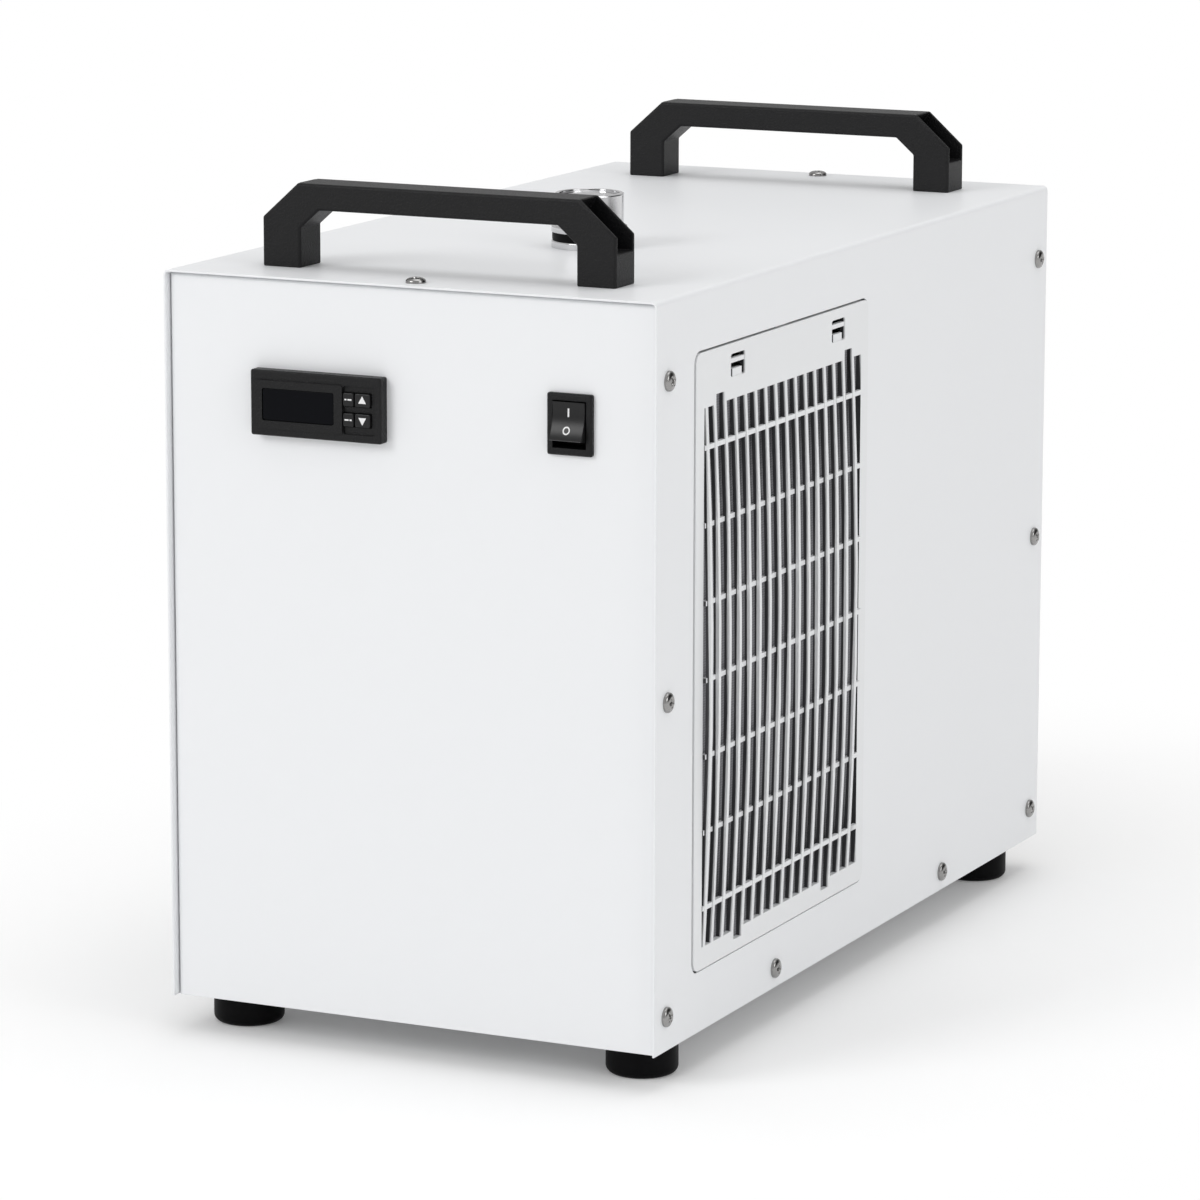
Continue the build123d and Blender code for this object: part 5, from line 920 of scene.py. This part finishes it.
class CHILLER_OT_feet(bpy.types.Operator):
    """Moulded rubber feet, turned from a profile with a rounded lower edge"""

    bl_idname = "chiller.feet"
    bl_label = "Feet"

    def execute(self, context):
        for name in ("foot_front_left", "foot_front_right", "foot_rear_left", "foot_rear_right"):
            x, y, _ = node_centre(name)
            inner = FOOT_R - FOOT_ROUND
            profile = (
                [(FOOT_HOLE_R, FOOT_POCKET_H), (FOOT_POCKET_R, FOOT_POCKET_H)]
                + [(FOOT_POCKET_R, POCKET_CHAMFER), (FOOT_POCKET_R + POCKET_CHAMFER, 0.0), (inner, 0.0)]
                + arc((inner, FOOT_ROUND), FOOT_ROUND, -90, 0, 8)
                + [(FOOT_R, FOOT_H - FOOT_CHAMFER), (FOOT_R - FOOT_CHAMFER, FOOT_H)]
                + [(FOOT_HOLE_R, FOOT_H), (FOOT_HOLE_R, FOOT_POCKET_H)]
            )
            foot = lathe(profile, (x, y, 0), context.scene.chiller_look.turns).object(f"{name}_rubber")
            place(foot, "casing", "black_rubber", LOOKS["black_rubber"], name)
        return {"FINISHED"}


class CHILLER_OT_rear(bpy.types.Operator):
    """Rear side: fan, wire guard, water fittings, drain, sockets and level gauge"""

    bl_idname = "chiller.rear"
    bl_label = "Rear"

    def execute(self, context):
        guard = self.guard(context.scene.chiller_look.turns)
        place(guard, "casing", "black_enamel", LOOKS["black_enamel"], "fan_guard")
        for name, body, edge in REAR_PIECES:
            piece = dressed(f"{name}_finished", name, edge, clamp=True)
            place(piece, body, SLOTS[name], LOOKS[SLOTS[name]], name)
        return {"FINISHED"}

    def guard(self, steps):
        """Rings and crossed bars of round wire. A ring is the wire's circle turned round the fan's middle, a
        bar is the same circle carried straight along a slope of one in one."""
        x, _, z = node_centre("fan_guard")
        near, far = (corner.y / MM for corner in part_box("fan_guard"))
        half = GUARD_WIRE / 2
        shell = Shell()
        for radius in GUARD_RINGS:
            lathe(arc((radius, far - half), half, 0, 360, GUARD_ROUND), (x, 0, z), steps, "Y", shell)
        turn = np.linspace(0, tau, GUARD_ROUND, endpoint=False)
        reach = GUARD_RINGS[0] + GUARD_WIRE
        for slope in (-1, 1):
            along = np.array([1, 0, slope]) / np.sqrt(2)
            across = np.array([slope, 0, -1]) / np.sqrt(2)
            wire = half * (np.outer(np.cos(turn), (0, 1, 0)) + np.outer(np.sin(turn), across))
            ends = np.array([along * (-reach), along * reach])[:, None, :] + wire
            shell.grid(ends + np.array([x, near + half, z]), wrap_columns=True, cap_first=True, cap_last=True)
        return shell.object("fan_guard_wires", smooth=50)


class CHILLER_OT_inside(bpy.types.Operator):
    """Base, stand, shroud, all that the casing holds, and the filter mats behind the grilles"""

    bl_idname = "chiller.inside"
    bl_label = "Inside"

    def execute(self, context):
        for name, edge in INSIDE_PIECES:
            piece = dressed(f"{name}_finished", name, edge, clamp=True)
            place(piece, "casing", SLOTS[name], LOOKS[SLOTS[name]], name)
        for side in ("right", "left"):
            mat = dressed(f"filter_{side}_mat", f"filter_{side}", FILTER_EDGE, clamp=True)
            place(mat, f"grille_{side}", "filter_cloth", LOOKS["filter_cloth"], f"filter_{side}")
        return {"FINISHED"}


class CHILLER_OT_studio(bpy.types.Operator):
    """Pale floor, soft lamps, pale surround and the camera"""

    bl_idname = "chiller.studio"
    bl_label = "Studio"

    def execute(self, context):
        self.floor()
        self.surround(context.scene)
        for lamp in LAMPS:
            self.lamp(*lamp)
        self.camera(context)
        context.scene.view_settings.view_transform = "Standard"
        return {"FINISHED"}

    def floor(self):
        """A wide plain floor, lifted a little for the camera and reflections, that fades to white with the
        distance from the machine."""
        mesh = bpy.data.meshes.new("floor")
        corners = [(FLOOR_REACH * x, FLOOR_REACH * y, 0) for x, y in ((-1, -1), (1, -1), (1, 1), (-1, 1))]
        mesh.from_pydata(corners, [], [(0, 1, 2, 3)])
        floor = bpy.data.objects.new("floor", mesh)
        bpy.context.scene.collection.objects.link(floor)
        material = grained("pale floor", (0.93, 0.93, 0.93), 0.75, 60, 0.0, tint=0.01)
        tree = material.node_tree
        path = node(tree, "ShaderNodeLightPath").outputs
        seen = maths(tree, "MAXIMUM", path["Is Camera Ray"], path["Is Glossy Ray"])
        seen = maths(tree, "MAXIMUM", seen, path["Is Transmission Ray"])
        glow = node(tree, "ShaderNodeEmission", [(maths(tree, "MULTIPLY", seen, FLOOR_LIFT), "Strength")])
        shader = tree.nodes["Principled BSDF"]
        near = node(tree, "ShaderNodeAddShader", [(shader.outputs[0], 0), (glow.outputs[0], 1)])
        where = node(tree, "ShaderNodeTexCoord").outputs["Object"]
        wide = vectors(tree, "MULTIPLY", [(where, 0)], [(1, FLOOR_STRETCH)])
        away = vectors(tree, "LENGTH", [(wide.outputs[0], 0)])
        shown = maths(tree, "MULTIPLY", faded(tree, away.outputs["Value"], FLOOR_FADE), seen)
        white = node(tree, "ShaderNodeEmission")
        both = node(tree, "ShaderNodeMixShader", [(shown, 0), (near.outputs[0], 1), (white.outputs[0], 2)])
        tree.links.new(both.outputs[0], tree.nodes["Material Output"].inputs["Surface"])
        mesh.materials.append(material)

    def surround(self, scene):
        """Soft even light from all round: the camera sees plain white, reflections see a dark card in it."""
        world = bpy.data.worlds.new("surround")
        world.use_nodes = True
        scene.world = world
        tree = world.node_tree
        light = fill(tree.nodes["Background"], [("Color", WHITE), ("Strength", SKY)])
        white = node(tree, "ShaderNodeBackground", values=[("Color", WHITE)])
        where = node(tree, "ShaderNodeTexCoord").outputs["Generated"]
        facing = vectors(tree, "DOT_PRODUCT", [(where, 0)], [(1, CARD_WAY)])
        card = faded(tree, facing.outputs["Value"], CARD_FADE)
        gloss = node(tree, "ShaderNodeBackground", [(card, "Strength")], [("Color", WHITE)])
        path = node(tree, "ShaderNodeLightPath").outputs
        shown = light
        for ray, other in (("Is Glossy Ray", gloss), ("Is Camera Ray", white)):
            links = [(path[ray], 0), (shown.outputs[0], 1), (other.outputs[0], 2)]
            shown = node(tree, "ShaderNodeMixShader", links)
        tree.links.new(shown.outputs[0], tree.nodes["World Output"].inputs["Surface"])

    def lamp(self, name, at, towards, size, power):
        """A rectangular softbox aimed at a point."""
        data = bpy.data.lights.new(name, "AREA")
        data.shape = "RECTANGLE"
        data.size, data.size_y = size
        data.energy = power
        lamp = bpy.data.objects.new(name, data)
        bpy.context.scene.collection.objects.link(lamp)
        lamp.location = at
        lamp.rotation_euler = (Vector(towards) - Vector(at)).to_track_quat("-Z", "Y").to_euler()

    def camera(self, context):
        """Stands in front of the controller side and to its right, and looks down a little."""
        x, y, z = CAMERA_PLACE
        data = bpy.data.cameras.new("studio camera")
        data.sensor_width = SENSOR_W
        data.lens = context.scene.chiller_look.camera_lens
        data.clip_end = CAMERA_SIGHT
        camera = bpy.data.objects.new("studio camera", data)
        context.scene.collection.objects.link(camera)
        turn = Matrix.Rotation(radians(CAMERA_YAW), 4, "Z")
        turn = turn @ Matrix.Rotation(pi / 2 - radians(CAMERA_PITCH), 4, "X")
        turn = turn @ Matrix.Rotation(radians(CAMERA_ROLL), 4, "Z")
        camera.matrix_world = Matrix.Translation(Vector((x, y + Y_MID, z + Z_BASE)) * MM) @ turn
        context.scene.camera = camera


# Registration
STEPS = (
    CHILLER_OT_finishes, CHILLER_OT_casing, CHILLER_OT_grilles, CHILLER_OT_handles, CHILLER_OT_filler,
    CHILLER_OT_controller, CHILLER_OT_switch, CHILLER_OT_screws, CHILLER_OT_feet, CHILLER_OT_rear,
    CHILLER_OT_inside, CHILLER_OT_studio,
)


class CHILLER_PT_panel(bpy.types.Panel):
    """Lists the machine's settings and its building steps"""

    bl_idname = "CHILLER_PT_panel"
    bl_label = "Recirculating chiller"
    bl_space_type = "VIEW_3D"
    bl_region_type = "UI"
    bl_category = "Chiller"

    def draw(self, context):
        for name in CHILLER_PG_look.__annotations__:
            self.layout.prop(context.scene.chiller_look, name)
        for step in STEPS:
            self.layout.operator(step.bl_idname)


def register():
    for item in (CHILLER_PG_look, *STEPS, CHILLER_PT_panel):
        bpy.utils.register_class(item)
    bpy.types.Scene.chiller_look = PointerProperty(type=CHILLER_PG_look)


def unregister():
    del bpy.types.Scene.chiller_look
    for item in reversed((CHILLER_PG_look, *STEPS, CHILLER_PT_panel)):
        bpy.utils.unregister_class(item)


def main():
    register()
    for step in STEPS:
        group, name = step.bl_idname.split(".")
        getattr(getattr(bpy.ops, group), name)()


if __name__ == "__main__":
    main()
